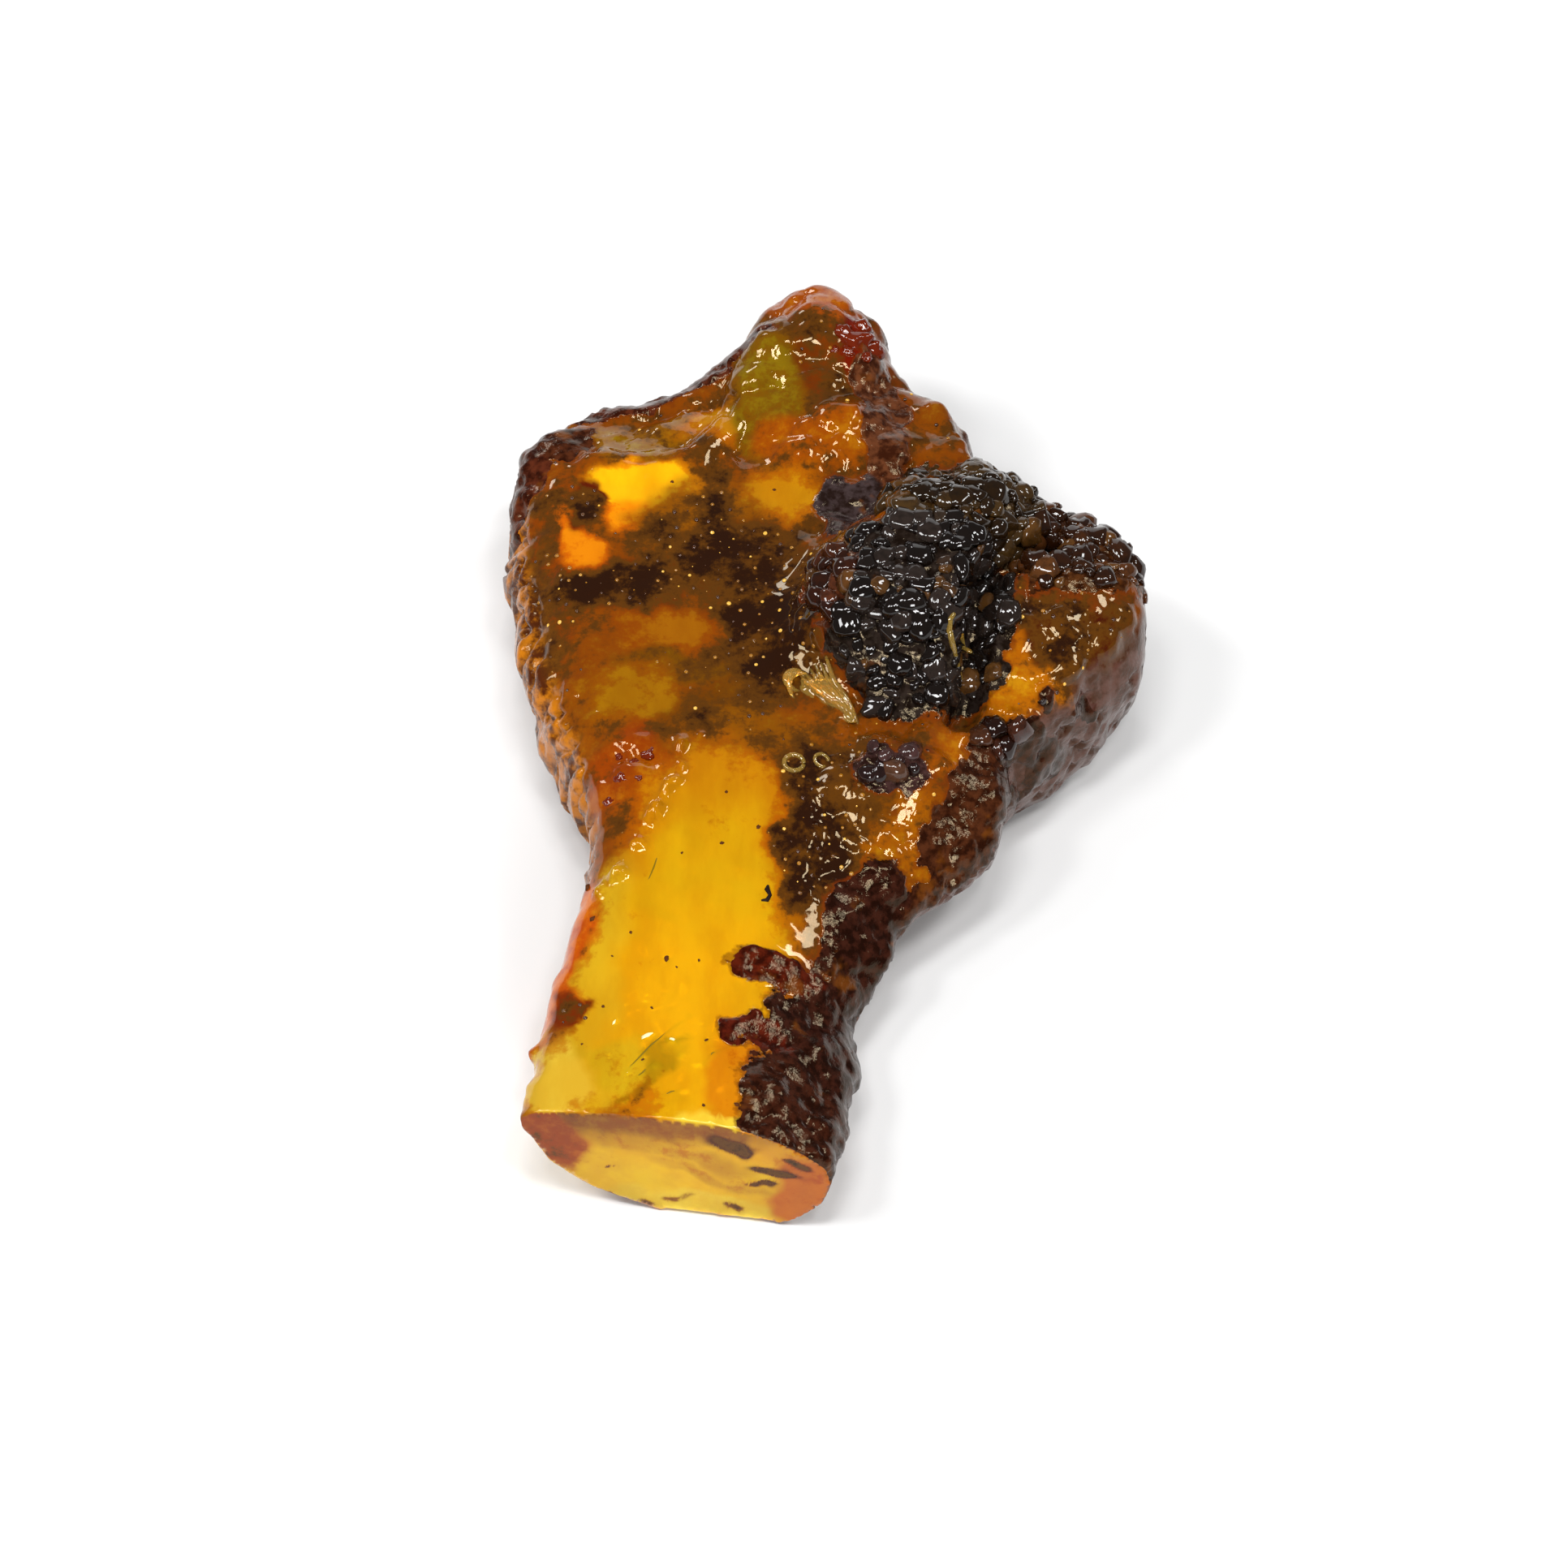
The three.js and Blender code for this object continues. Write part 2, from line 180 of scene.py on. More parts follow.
TINTS = [  # resin of the top: centre, radii, turn, colour, debris, how clear, strength
    ("brown of the knob", (0.0, 20.4), (5.4, 6.4), 0, "7E4408", 0.60, 0.3, 1.0),
    ("left margin", (-14.4, 5.0), (2.0, 9.6), -6, "8A4A08", 0.68, 0.2, 1.0),
    ("olive ridge", (-8.8, 16.6), (4.4, 1.8), 8, "A8860E", 0.40, 0.4, 1.0),
    ("gold behind the ridge", (-5.6, 17.6), (2.2, 1.6), 20, "D08C0C", 0.24, 0.4, 1.0),
    ("olive neck of the knob", (-3.0, 19.0), (1.9, 5.4), 8, "9A7C0C", 0.30, 0.5, 1.2),
    ("orange lumps", (-0.2, 15.8), (3.0, 2.0), 0, "B46C06", 0.36, 0.3, 1.1),
    ("knob, amber top", (0.2, 25.4), (3.0, 2.0), -10, "C06C08", 0.42, 0.35, 1.1),
    ("knob, red bead", (2.0, 22.4), (1.2, 1.9), 0, "7A1C04", 0.42, 0.3, 1.4),
    ("glow, back left", (-9.8, 12.8), (2.9, 1.5), 6, "FFBA0A", -0.12, 0.3, 1.3),
    ("glow, tail", (-9.8, 11.0), (1.3, 1.4), -20, "F89404", 0.04, 0.3, 1.2),
    ("glow, left", (-12.8, 8.8), (1.0, 2.8), 14, "E28206", 0.10, 0.3, 1.0),
    ("glow, right", (-2.4, 12.2), (2.2, 2.4), -20, "CC8A08", 0.06, 0.35, 1.1),
    ("red stain", (-12.4, 11.5), (1.0, 1.5), 0, "5A1E06", 0.85, 0.1, 1.3),
    ("debris cloud", (-6.4, 10.2), (3.6, 3.0), 0, "9A6C0C", 0.68, 0.3, 1.1),
    ("dark band, left", (-10.4, 5.9), (3.4, 1.7), 4, "6A2E06", 0.98, 0.1, 1.3),
    ("dark band, right", (-3.6, 7.4), (4.8, 2.6), -8, "5A2E08", 0.92, 0.1, 1.2),
    ("dark middle", (-2.6, 2.4), (3.6, 4.6), 8, "6A3A08", 0.92, 0.2, 1.1),
    ("honey, upper", (-8.2, 3.0), (3.2, 1.5), 6, "A26004", 0.12, 0.35, 1.1),
    ("cloud strip", (-7.6, 0.3), (3.4, 1.1), -4, "7E5E0A", 0.70, 0.3, 1.0),
    ("honey, lower", (-9.8, -1.8), (2.8, 2.2), 0, "A87004", 0.08, 0.4, 1.1),
    ("brown strip", (-5.2, -2.2), (3.6, 1.4), 20, "7A5408", 0.66, 0.3, 1.0),
    ("cloudy neck root", (-4.2, -4.4), (3.6, 1.8), 0, "9A6C08", 0.60, 0.4, 0.9),
    ("red beads", (-9.9, -6.4), (1.9, 2.6), -24, "A05008", 0.42, 0.3, 1.1),
    ("brown right of the neck", (-0.4, -11.0), (2.2, 5.6), 12, "6A4208", 0.86, 0.15, 1.3),
    ("brown, upper right", (1.2, -7.2), (3.0, 2.0), 10, "6A4A10", 0.76, 0.2, 1.1),
    ("gold on the shoulder", (3.8, -10.4), (1.8, 2.4), -30, "B87C0A", 0.30, 0.4, 1.1),
    ("amber by the crease", (6.6, -5.6), (1.8, 1.5), 0, "B06C08", 0.34, 0.35, 1.1),
    ("brown in the right lobe", (11.4, 1.0), (5.0, 4.6), 0, "603409", 0.78, 0.2, 1.0),
    ("gold in the right lobe", (9.8, -0.7), (3.0, 2.4), 20, "C4860C", 0.38, 0.3, 1.5),
    ("red in the right lobe", (12.6, 1.6), (1.9, 2.6), 0, "481A0C", 0.74, 0.15, 1.2),
    ("neck, left", (-10.8, -20.0), (1.9, 8.6), -8, "E6B81C", -0.02, 0.5, 1.1),
    ("neck root, golden", (-6.0, -10.0), (4.0, 4.8), -6, "D48A04", 0.02, 0.45, 1.4),
    ("neck, golden", (-6.2, -18.8), (4.0, 9.8), -4, "FFC20A", -0.10, 0.58, 1.5),
    ("neck, greenish cloud", (-9.8, -24.0), (1.6, 1.3), 30, "DCB818", 0.12, 0.5, 0.9),
    ("neck, orange right", (-4.2, -25.4), (1.9, 3.4), 0, "F29C0A", 0.04, 0.58, 1.2),
    # painted highlight: a pale yellow strip of colour along the break stands in for a flash of light on
    # that edge
    ("painted flash along the break", (-5.8, -27.5), (3.2, 0.5), 3, "FFE040", -0.1, 0.5, 1.2),
    ("smoke in the neck", (-8.6, -24.7), (2.1, 0.32), 41, "B09408", 0.26, 0.5, 0.8),
    ("fine smoke in the neck", (-7.8, -23.5), (1.4, 0.2), 39, "A88C08", 0.28, 0.5, 0.7),
    ("orange strip, left flank", (-13.2, -17.6), (1.1, 5.2), -12, "D87008", 0.24, 0.3, 1.2),
    ("brown blotch on the strip", (-12.9, -20.6), (0.7, 1.4), -10, "7A3204", 0.60, 0.2, 1.1),
    ("pale facet", (-13.4, -25.0), (1.6, 2.8), 0, "E8C43C", 0.02, 0.4, 1.2),
]
END_TINTS = [  # resin of the broken end, along it and up from its foot
    ("olive band under the roof", (-1.4, 7.4), (6.0, 2.4), 0, "94600A", 0.30, 0.5, 1.2),
    ("yellow, low", (-0.8, 2.4), (6.4, 3.2), 0, "FFD004", -0.08, 0.6, 1.2),
    ("bright foot", (1.2, 0.9), (4.6, 0.9), 0, "FFE038", -0.1, 0.6, 1.1),
    ("smoke, upper", (-0.8, 4.9), (4.4, 0.7), -12, "C08C08", 0.22, 0.5, 0.7),
    ("smoke, lower", (1.8, 3.1), (3.6, 0.4), -16, "C8940A", 0.18, 0.5, 0.7),
    ("brown corner", (-6.6, 4.9), (1.9, 2.8), 24, "A8520A", 0.44, 0.4, 1.4),
    ("orange corner", (6.9, 2.8), (1.8, 3.0), 0, "D06C04", 0.18, 0.5, 1.2),
    ("flake, upper", (2.7, 5.9), (1.3, 0.7), -12, "4A2006", 0.80, 0.2, 1.5),
    ("flake, long", (4.9, 4.2), (1.6, 0.4), -14, "4A2006", 0.80, 0.2, 1.5),
    ("flake, small", (4.4, 3.0), (0.6, 0.25), -8, "4A2006", 0.7, 0.1, 1.2),
    ("flake, right", (6.2, 4.9), (0.8, 0.3), -16, "5A2806", 0.7, 0.1, 1.2),
    ("crumb 1", (-1.7, 0.6), (0.5, 0.3), 0, "6A3A08", 0.8, 0.2, 0.9),
    ("crumb 2", (2.7, 0.8), (0.5, 0.3), 0, "6A3A08", 0.8, 0.2, 0.9),
    ("crumb 3", (0.1, 1.2), (0.8, 0.3), 0, "7A4A08", 0.7, 0.2, 0.9),
    ("crumb 4", (-3.3, 3.0), (0.22, 0.14), 40, "7A4A08", 0.7, 0.2, 0.9),
]
BEADED = ("dark mound", "mound back", "right lobe", "lobe front edge", "purple bump", "reddish lobe")


def patch_value(x, y, centre, radii, turn):
    """1 at the middle of a patch, 0 at its edge and negative outside."""
    a = math.radians(turn)
    dx, dy = x - centre[0], y - centre[1]
    u = (dx * math.cos(a) + dy * math.sin(a)) / radii[0]
    v = (-dx * math.sin(a) + dy * math.cos(a)) / radii[1]
    return 1 - math.hypot(u, v)


print(len(CRUST), "crust patches and", len(TINTS) + len(END_TINTS), "tinted patches")

# %% [markdown]
# ## The body
# The CAD solid is faceted, about a millimetre to a face. A copy of its mesh is merged, the larger
# faces of the broken end are split, and the whole is divided with the Catmull-Clark rule, which also
# rounds it as a water-worn lump is rounded. The broken end and the resting patches stay sharp: their
# edges get a crease first. Dividing twice gives a point about every quarter of a millimetre, close
# enough for the crust's bubbles to be real shapes.

# %% Divide the body
WELD = 2e-6  # metres: points closer than this are merged
SLIVER = 1e-5  # metres: shorter edges are dissolved
SAME_WAY = 0.999  # two directions count as one when their dot product is above this
CREASE_ANGLE = math.radians(38)
CREASE = 0.8
END_CELL = 1.15  # longest edge on the broken end, mm, before the division
END_ROUNDS = 5  # its edges are halved this many times at most
END_TURN = math.radians(8.5)
END_NORMAL = Vector((-math.sin(END_TURN), -math.cos(END_TURN), 0))


def end_faces(bm):
    return [f for f in bm.faces if f.normal.dot(END_NORMAL) > SAME_WAY]


def refine_end(bm):
    """Halves the long edges of the broken end, whose faces are larger than the rest."""
    for _ in range(END_ROUNDS):
        long_edges = {e for f in end_faces(bm) for e in f.edges if e.calc_length() > END_CELL * MM}
        if not long_edges:
            break
        bmesh.ops.subdivide_edges(bm, edges=list(long_edges), cuts=1)
        bmesh.ops.triangulate(bm, faces=end_faces(bm))
        on_end = end_faces(bm)
        inner = {e for f in on_end for e in f.edges if all(g in on_end for g in e.link_faces)}
        bmesh.ops.beautify_fill(bm, faces=on_end, edges=list(inner))
    bmesh.ops.triangulate(bm, faces=[f for f in bm.faces if len(f.verts) > 4])


def crease_flats(bm, crease):
    """Keeps the rims of the broken end and the resting patches sharp, and counts their edges."""
    flat = {f for f in bm.faces if f.normal.z < -SAME_WAY or f.normal.dot(END_NORMAL) > SAME_WAY}
    sharp = 0
    for edge in bm.edges:
        on_flat = sum(f in flat for f in edge.link_faces)
        if on_flat == 1 and edge.calc_face_angle(0) > CREASE_ANGLE:
            edge[crease] = CREASE
            sharp += 1
    return sharp


def divided_body(name, levels):
    mesh = bpy.data.objects["amber_piece"].data.copy()
    bm = bmesh.new()
    bm.from_mesh(mesh)
    bmesh.ops.remove_doubles(bm, verts=bm.verts, dist=WELD)
    bmesh.ops.dissolve_degenerate(bm, edges=bm.edges, dist=SLIVER)
    bm.normal_update()
    crease = bm.edges.layers.float.get("crease_edge") or bm.edges.layers.float.new("crease_edge")
    refine_end(bm)
    bm.normal_update()
    sharp = crease_flats(bm, crease)
    bm.to_mesh(mesh)
    bm.free()
    body = bpy.data.objects.new(name, mesh)
    bpy.context.scene.collection.objects.link(body)
    divide = body.modifiers.new("divide", "SUBSURF")
    divide.levels = divide.render_levels = levels
    depsgraph = bpy.context.evaluated_depsgraph_get()
    result = bpy.data.meshes.new_from_object(body.evaluated_get(depsgraph))
    body.modifiers.clear()
    body.data = result
    triangles = sum(len(p.vertices) - 2 for p in result.polygons)
    print(name, "has", triangles, "triangles,", sharp, "creased edges")
    return body


body = divided_body("amber_body", 2)

# %% [markdown]
# ## Shapes of the relief
# The crust is made of bubbles of resin that swelled and hardened, some a millimetre across and
# most of them smaller. A cell pattern gives the distance to the nearest bubble's middle, and a
# circle's height over that distance is a dome. Ridges and the crevice run along lines of points,
# and noise bends the place of every patch, which gives it a lobed outline.

# %% Shapes of the relief
DOME_REACH = 0.72  # how far a dome reaches from its middle, in spacings
SLOW_BEND, QUICK_BEND = (2.4, 1.1), (0.8, 0.4)  # spacing and reach of the noise at patches, mm
TORN_RIDGE = [(-6.8, -5.0), (-7.6, -7.0), (-8.6, -9.2), (-9.8, -11.4), (-11.0, -13.6)]
BACK_RIDGE = [(-12.2, 14.6), (-9.4, 14.2), (-7.0, 14.8), (-5.4, 16.8), (-4.4, 19.6)]
CREVICE = [(7.0, -3.0), (7.7, -0.2), (7.7, 2.4), (8.4, 4.4), (10.0, 6.4), (11.6, 7.4)]


def domes(point, spacing):
    """Rounded bubbles, spacing apart: 1 at the top of a bubble and 0 between two."""
    near = noise.voronoi(point / spacing)[0][0]
    return math.sqrt(max(0.0, 1 - (near / DOME_REACH) ** 2))


def line_distance(x, y, line):
    """Distance in plan to a line of points."""
    nearest = math.inf
    for (ax, ay), (bx, by) in zip(line, line[1:]):
        ex, ey = bx - ax, by - ay
        t = min(1.0, max(0.0, ((x - ax) * ex + (y - ay) * ey) / (ex * ex + ey * ey)))
        nearest = min(nearest, math.hypot(x - ax - ex * t, y - ay - ey * t))
    return nearest


def near_line(x, y, line, inner, outer):
    """1 within the inner distance of a line and 0 beyond the outer one."""
    return 1 - ramp(line_distance(x, y, line), inner, outer)


def bent(point):
    """The point moved by a slow and a quick noise, mm."""
    slow = wobble(point / SLOW_BEND[0]) * SLOW_BEND[1]
    quick = wobble(point / QUICK_BEND[0] + Vector((7, 3, 5))) * QUICK_BEND[1]
    return point + slow + quick


crevice_length = sum(math.dist(a, b) for a, b in zip(CREVICE, CREVICE[1:]))
print("the crevice is", round(crevice_length, 1), "mm long")

# %% [markdown]
# ## Where crust and skin lie
# The crust lies where its patches are, and the strongest patch gives its colour. The walls and the
# underside have a thin weathered skin instead, which starts where the surface turns away from
# straight up. It starts sooner on the left of the head, and the neck's left flank has none.


# %% Where crust and skin lie
def crust_patch(x, y, names=None):
    """How far inside the crust (above 0) or outside it (below 0), and that crust's colour."""
    best, colour = -1.0, CRUST[0][5]
    for name, centre, radii, turn, strength, tint in CRUST:
        value = strength * patch_value(x, y, centre, radii, turn)
        if (names is None or name in names) and value > best:
            best, colour = value, tint
    return best, colour


def head_left(x, y):
    """1 on the head's left part, whose edge is rounded over, and 0 elsewhere."""
    return ramp(y, -8, -4) * (1 - ramp(x, -10, -8))


def skin_value(x, y, normal):
    """1 on the weathered walls and underside, 0 on the top and round the clear neck."""
    rounded = head_left(x, y)
    wall = 1 - ramp(normal.z, 0.22 + 0.3 * rounded, 0.60 + 0.32 * rounded)
    clear_neck = (1 - ramp(y, -15, -9)) * (1 - ramp(x, -3.6, -0.6))
    return wall * (1 - clear_neck)


print("crust on the mound:", round(crust_patch(5.0, 2.8)[0], 2), "and on the window:",
      round(crust_patch(-8.0, 4.0)[0], 2))

# %% [markdown]
# ## How far the surface moves
# The crust has lumps with bubbles on them. The walls have pits and upright wrinkles, and the right
# wall has the deeper pits. The polished face keeps only a slow wave, a torn ridge and the back
# ridge, with rounded lumps beside the neck and at the back. All of it moves points along their
# normals, so the bubbles and pits are shapes and not only shading.

# %% How far the surface moves
BUBBLE_SIZES = ((1.5, 0.34), (0.8, 0.22), (0.5, 0.08))  # spacing and height, mm
LUMP_SPACING, LUMP_HEIGHT = 3.4, 0.5
CRUST_SINK = 0.1  # the bubbles are let in by this much, mm
PIT_SPACING, PIT_DEPTH = 1.1, 0.3
WRINKLE_SPACING, WRINKLE_DEPTH = 1.2, 0.45
GRIT_SPACING, GRIT_HEIGHT = 1.3, 0.16
FINE_GRIT_SPACING, FINE_GRIT_HEIGHT = 0.5, 0.05
KNOBBLY_SPACING, KNOBBLY_HEIGHT = 1.9, 0.42
KNOB_LUMP_SPACING, KNOB_LUMP_HEIGHT = 2.8, 0.55
KNOBBLY_SINK = 0.6  # the share of a dome's height that is sunk, so that lumps don't swell the face
WAVE_SPACING, WAVE_HEIGHT = 5.0, 0.05
TORN_HEIGHT, BACK_RIDGE_HEIGHT, CREVICE_DEPTH = 0.5, 0.5, 1.5
RED_LUMPS = ((-10.0, -6.4), (2.2, 2.8), -24)
CRUST_EDGE = (-0.03, 0.14)  # between these values of crust the bark rises to its full height


def crust_relief(point, lumps, froth):
    """Lumps and bubbles of the crust."""
    bubbles = sum(h * domes(point + Vector((0, 0, 11 * i)), s) for i, (s, h) in enumerate(BUBBLE_SIZES))
    return lumps + bubbles * (0.55 + 0.25 * froth) - CRUST_SINK


def skin_relief(point, lumps):
    """Pits and upright wrinkles of the walls."""
    right = point.x > 0
    near_pit = noise.voronoi(point / PIT_SPACING)[0][0]
    pits = -PIT_DEPTH * (1 - ramp(near_pit, 0.1, 0.4)) * (1.0 if right else 0.5)
    fold = noise.noise(Vector((point.x, point.y, point.z * 0.2)) / WRINKLE_SPACING)
    wrinkles = -WRINKLE_DEPTH * max(0.0, 1 - abs(fold) * 5) * (0.25 if right else 1)
    return pits + wrinkles + lumps * 0.8


def knobbly_relief(point, grit):
    """Rounded lumps right of the neck, at the back, on the knob and among the red beads."""
    x, y = point.x, point.y
    lumpy = max(ramp(x, -2.6, 0.6) * ramp(y, -16, -13), ramp(y, 13.6, 15.4),
                ramp(patch_value(x, y, *RED_LUMPS), 0.0, 0.5))
    on_knob = ramp(y, 16, 18)
    small_lumps = KNOBBLY_HEIGHT * (domes(point, KNOBBLY_SPACING) - KNOBBLY_SINK) + grit
    big_lumps = KNOB_LUMP_HEIGHT * (domes(point, KNOB_LUMP_SPACING) - KNOBBLY_SINK)
    return (small_lumps * (1 - 0.6 * on_knob) + big_lumps * on_knob) * lumpy


def polish_relief(point, normal, grit, debris):
    """The slow wave of the polished face, rougher on its slopes and where debris clouds it."""
    shoulder = ramp(1 - normal.z, 0.01, 0.07) * head_left(point.x, point.y)
    flank = 0.05 * noise.noise(point / 0.7) - 0.1 * abs(noise.noise(point / 2.2))
    flank *= ramp(1 - normal.z, 0.03, 0.2)
    wave = WAVE_HEIGHT * noise.noise(point / WAVE_SPACING) + flank
    return wave + grit * max(0.6 * ramp(debris, 0.3, 0.9), 1.2 * shoulder)


def torn_relief(point):
    """The torn ridge that runs from the head down the neck's root."""
    sway = wobble(point / 1.6) * 0.9
    ragged = max(0.0, 0.7 + 1.4 * noise.noise(point / 0.9 + Vector((3, 1, 4))))
    return TORN_HEIGHT * ragged * near_line(point.x + sway.x, point.y + sway.y, TORN_RIDGE, 0.05, 0.6)


def relief(point, normal, crust, skin, debris, froth):
    """How far the surface moves outwards, mm."""
    lumps = LUMP_HEIGHT * noise.noise(point / LUMP_SPACING)
    grit = GRIT_HEIGHT * noise.noise(point / GRIT_SPACING)
    grit += FINE_GRIT_HEIGHT * noise.noise(point / FINE_GRIT_SPACING)
    inside = ramp(crust, *CRUST_EDGE)
    window = (1 - ramp(crust, -0.2, 0.05)) * (1 - skin)
    bark = crust_relief(point, lumps, froth) * inside
    sides = skin_relief(point, lumps) * skin * (1 - inside * 0.6)
    polish = polish_relief(point, normal, grit, debris)
    ridge = BACK_RIDGE_HEIGHT * near_line(point.x, point.y, BACK_RIDGE, 0.2, 1.5)
    face = polish + torn_relief(point) + ridge + knobbly_relief(point, grit)
    crevice = near_line(point.x, point.y, CREVICE, 0.15, 1.2)
    crevice = -CREVICE_DEPTH * crevice * ramp(normal.z, 0.1, 0.5)
    return bark + sides + window * face + crevice


print("bubbles of the crust are", [spacing for spacing, _ in BUBBLE_SIZES], "mm apart")

# %% [markdown]
# ## Dress the body
# Every point of the body is moved by the relief, kept inside the box, and given what the finish
# will read: its share of crust, skin, debris and clearness, and two colours. The points of the
# broken end aren't moved, and their patches are laid out along that face and up from its foot.

# %% Dress the body
EDGE = -0.3  # a patch fades out this far beyond its ellipse
TOP_GROUND = (linear("9A5E0A"), 0.49, 0.35)  # colour, debris and clearness where no patch is
END_GROUND = (linear("FFBC04"), 0.05, 0.6)
END_FACING = 0.96  # dot product above which a point near the front belongs to the broken end
END_FRONT = -24.0  # the broken end lies in front of this, mm
RELIEF_ROOM = 0.35  # the crust is set in by this much where the body touches its box, mm
FROTH_ROOM = 0.4  # and by this much more where beads will stand on it
RESTING = 0.03  # points lower than this lie on the floor, mm
UNDER_LOSS = 1.5  # takes the crust away from the underside
UNDER_MILK = 0.85  # how milky the underside is, which throws light back up through the neck


def resin_at(x, y, patches, ground):
    """Colour, debris and clearness of the resin at a place, from the patches over a ground."""
    colour, debris, clear = ground
    for name, centre, radii, turn, tint, patch_debris, patch_clear, strength in patches:
        value = patch_value(x, y, centre, radii, turn)
        if value > EDGE:
            share = min(1.0, strength * ramp(value, EDGE, 0.3))
            deep_share = min(1.0, strength * ramp(value, EDGE, 0.75))
            colour = mix_colour(colour, linear(tint), share)
            debris += (patch_debris - debris) * deep_share
            clear += (patch_clear - clear) * share
    return colour, debris, clear


def store(mesh, kind, field, lists):
    """Keeps lists of numbers on the points of a mesh, each under its name."""
    for name, numbers in lists.items():
        mesh.attributes.new(name, kind, "POINT").data.foreach_set(field, numbers)


def dress(piece):
    """Moves the points of a piece by the relief and stores what the finish needs to know."""
    mesh = piece.data
    low, high = [Vector(v) / MM for v in (cad_low, cad_high)]
    open_low = (low.x, low.y, -math.inf)  # the crust needs no room above the floor
    normals = [n.vector.copy() for n in mesh.vertex_normals]
    along_end = Vector((-END_NORMAL.y, END_NORMAL.x, 0))
    is_end = [n.dot(END_NORMAL) > END_FACING and v.co.y < END_FRONT * MM
              for v, n in zip(mesh.vertices, normals)]
    ends = [v.co.dot(along_end) / MM for v, flag in zip(mesh.vertices, is_end) if flag]
    end_middle = (min(ends) + max(ends)) / 2
    values = {name: [] for name in ("crust", "skin", "debris", "clear", "beaded", "gritty")}
    colours = {"tint": [], "bark_tint": []}
    for vertex, normal, on_end in zip(mesh.vertices, normals, is_end):
        point = vertex.co / MM
        moved = bent(point)
        crust, bark_tint = crust_patch(moved.x, moved.y)
        under = 1 - ramp(normal.z, -0.3, 0.1)
        crust -= under * UNDER_LOSS
        skin = skin_value(point.x, point.y, normal)
        tint, debris, clear = resin_at(moved.x, moved.y, TINTS, TOP_GROUND)
        beads = ramp(crust_patch(moved.x, moved.y, BEADED)[0], 0.0, 0.25) * ramp(normal.z, 0.2, 0.5)
        if not on_end and point.z > RESTING:
            step = relief(point, normal, crust, skin, debris, beads) * ramp(point.z, 0.0, 0.8)
            room = min(min(h - p, p - l) for p, l, h in zip(point, open_low, high))
            step -= max(0.0, RELIEF_ROOM + FROTH_ROOM * beads - room) * ramp(crust, *CRUST_EDGE)
            point = point + normal * step
        point = Vector(min(h, max(l, p)) for p, l, h in zip(point, low, high))
        vertex.co = point * MM
        if on_end:
            crust, skin = -1.0, 0.0
            across = point.dot(along_end) - end_middle + (moved.x - point.x) * 0.9
            up = point.z + (moved.z - point.z) * 0.7
            tint, debris, clear = resin_at(across, up, END_TINTS, END_GROUND)
        window = (1 - ramp(crust, -0.1, 0.05)) * (1 - skin) * (0.0 if on_end else 1.0)
        values["gritty"].append(window * ramp(debris, 0.4, 0.75) * ramp(normal.z, 0.4, 0.8))
        values["crust"].append(crust)
        values["skin"].append(skin)
        values["debris"].append(debris)
        values["clear"].append(clear * (1 - UNDER_MILK * under))
        values["beaded"].append(beads)
        colours["tint"].extend(tint)
        colours["bark_tint"].extend(linear(bark_tint))
    store(mesh, "FLOAT", "value", values)
    store(mesh, "FLOAT_COLOR", "color", colours)
    for polygon in mesh.polygons:
        polygon.use_smooth = True
    mesh.update()


dress(body)
size = body.dimensions / MM
print("amber body, mm:", [round(v, 1) for v in size])

# %% [markdown]
# ## The resin and its bark, one material
# Amber is a fossil resin. It is clear, with an IOR of 1.54, and it takes up blue light first and
# green light next, so a thick piece is golden and a thin edge is nearly colourless. A volume takes
# up a share of each colour per metre. Where the resin weathered it is opaque, dark and glossy. The
# two are one body here, so one Principled shader goes from clear to opaque with a mask.

# %% Node helpers
PER_MM = 1000.0  # pattern scale for a size of one millimetre, in object coordinates
AMBER_IOR = 1.54
WISP_STRETCH = (1.0, 0.35, 1.0)  # flow lines run along the neck
SHEEN = 0.24  # the specular level: an old surface mirrors less than fresh polish
BEAD_SHEEN = 0.36  # the froth kept a harder gloss
SHEEN_TINT = (1.0, 0.80, 0.50, 1.0)  # what an amber face mirrors is warmer than the room
ABSORB_COLOUR = (0.99, 0.87, 0.02, 1.0)
ABSORB_DENSITY = 80.0  # per metre


def mask(tree, value, low, high):
    """0 below low, 1 above high, eased between them."""
    node = add(tree, "ShaderNodeMapRange", {"interpolation_type": "SMOOTHSTEP"}, Value=value,
               From_Min=low, From_Max=high)
    return node.outputs[0]


def blend(tree, factor, a, b):
    """Colour a where the factor is 0 and b where it is 1."""
    return add(tree, "ShaderNodeMix", {"data_type": "RGBA"}, i0=factor, i6=a, i7=b).outputs[2]


def level(tree, factor, a, b):
    """Number a where the factor is 0 and b where it is 1."""
    return add(tree, "ShaderNodeMix", {"data_type": "FLOAT"}, i0=factor, i2=a, i3=b).outputs[0]


def maths(tree, operation, a, b, c=0.0):
    """One operation on numbers, each a value or a socket."""
    return add(tree, "ShaderNodeMath", {"operation": operation}, i0=a, i1=b, i2=c).outputs[0]


def times(tree, colour, filter_colour):
    """A colour seen through a filter."""
    node = add(tree, "ShaderNodeMix", {"data_type": "RGBA", "blend_type": "MULTIPLY"},
               i0=1.0, i6=colour, i7=filter_colour)
    return node.outputs[2]


def speckle(tree, place, size_mm, detail=3.0, roughness=0.55):
    """Cloudy noise whose features are about size_mm across, from 0 to 1."""
    node = add(tree, "ShaderNodeTexNoise", None, Vector=place, Scale=PER_MM / size_mm,
               Detail=detail, Roughness=roughness)
    return node.outputs[0]


def stored(tree, name, output="Fac"):
    """A value kept on the mesh's points."""
    return add(tree, "ShaderNodeAttribute", {"attribute_name": name}).outputs[output]


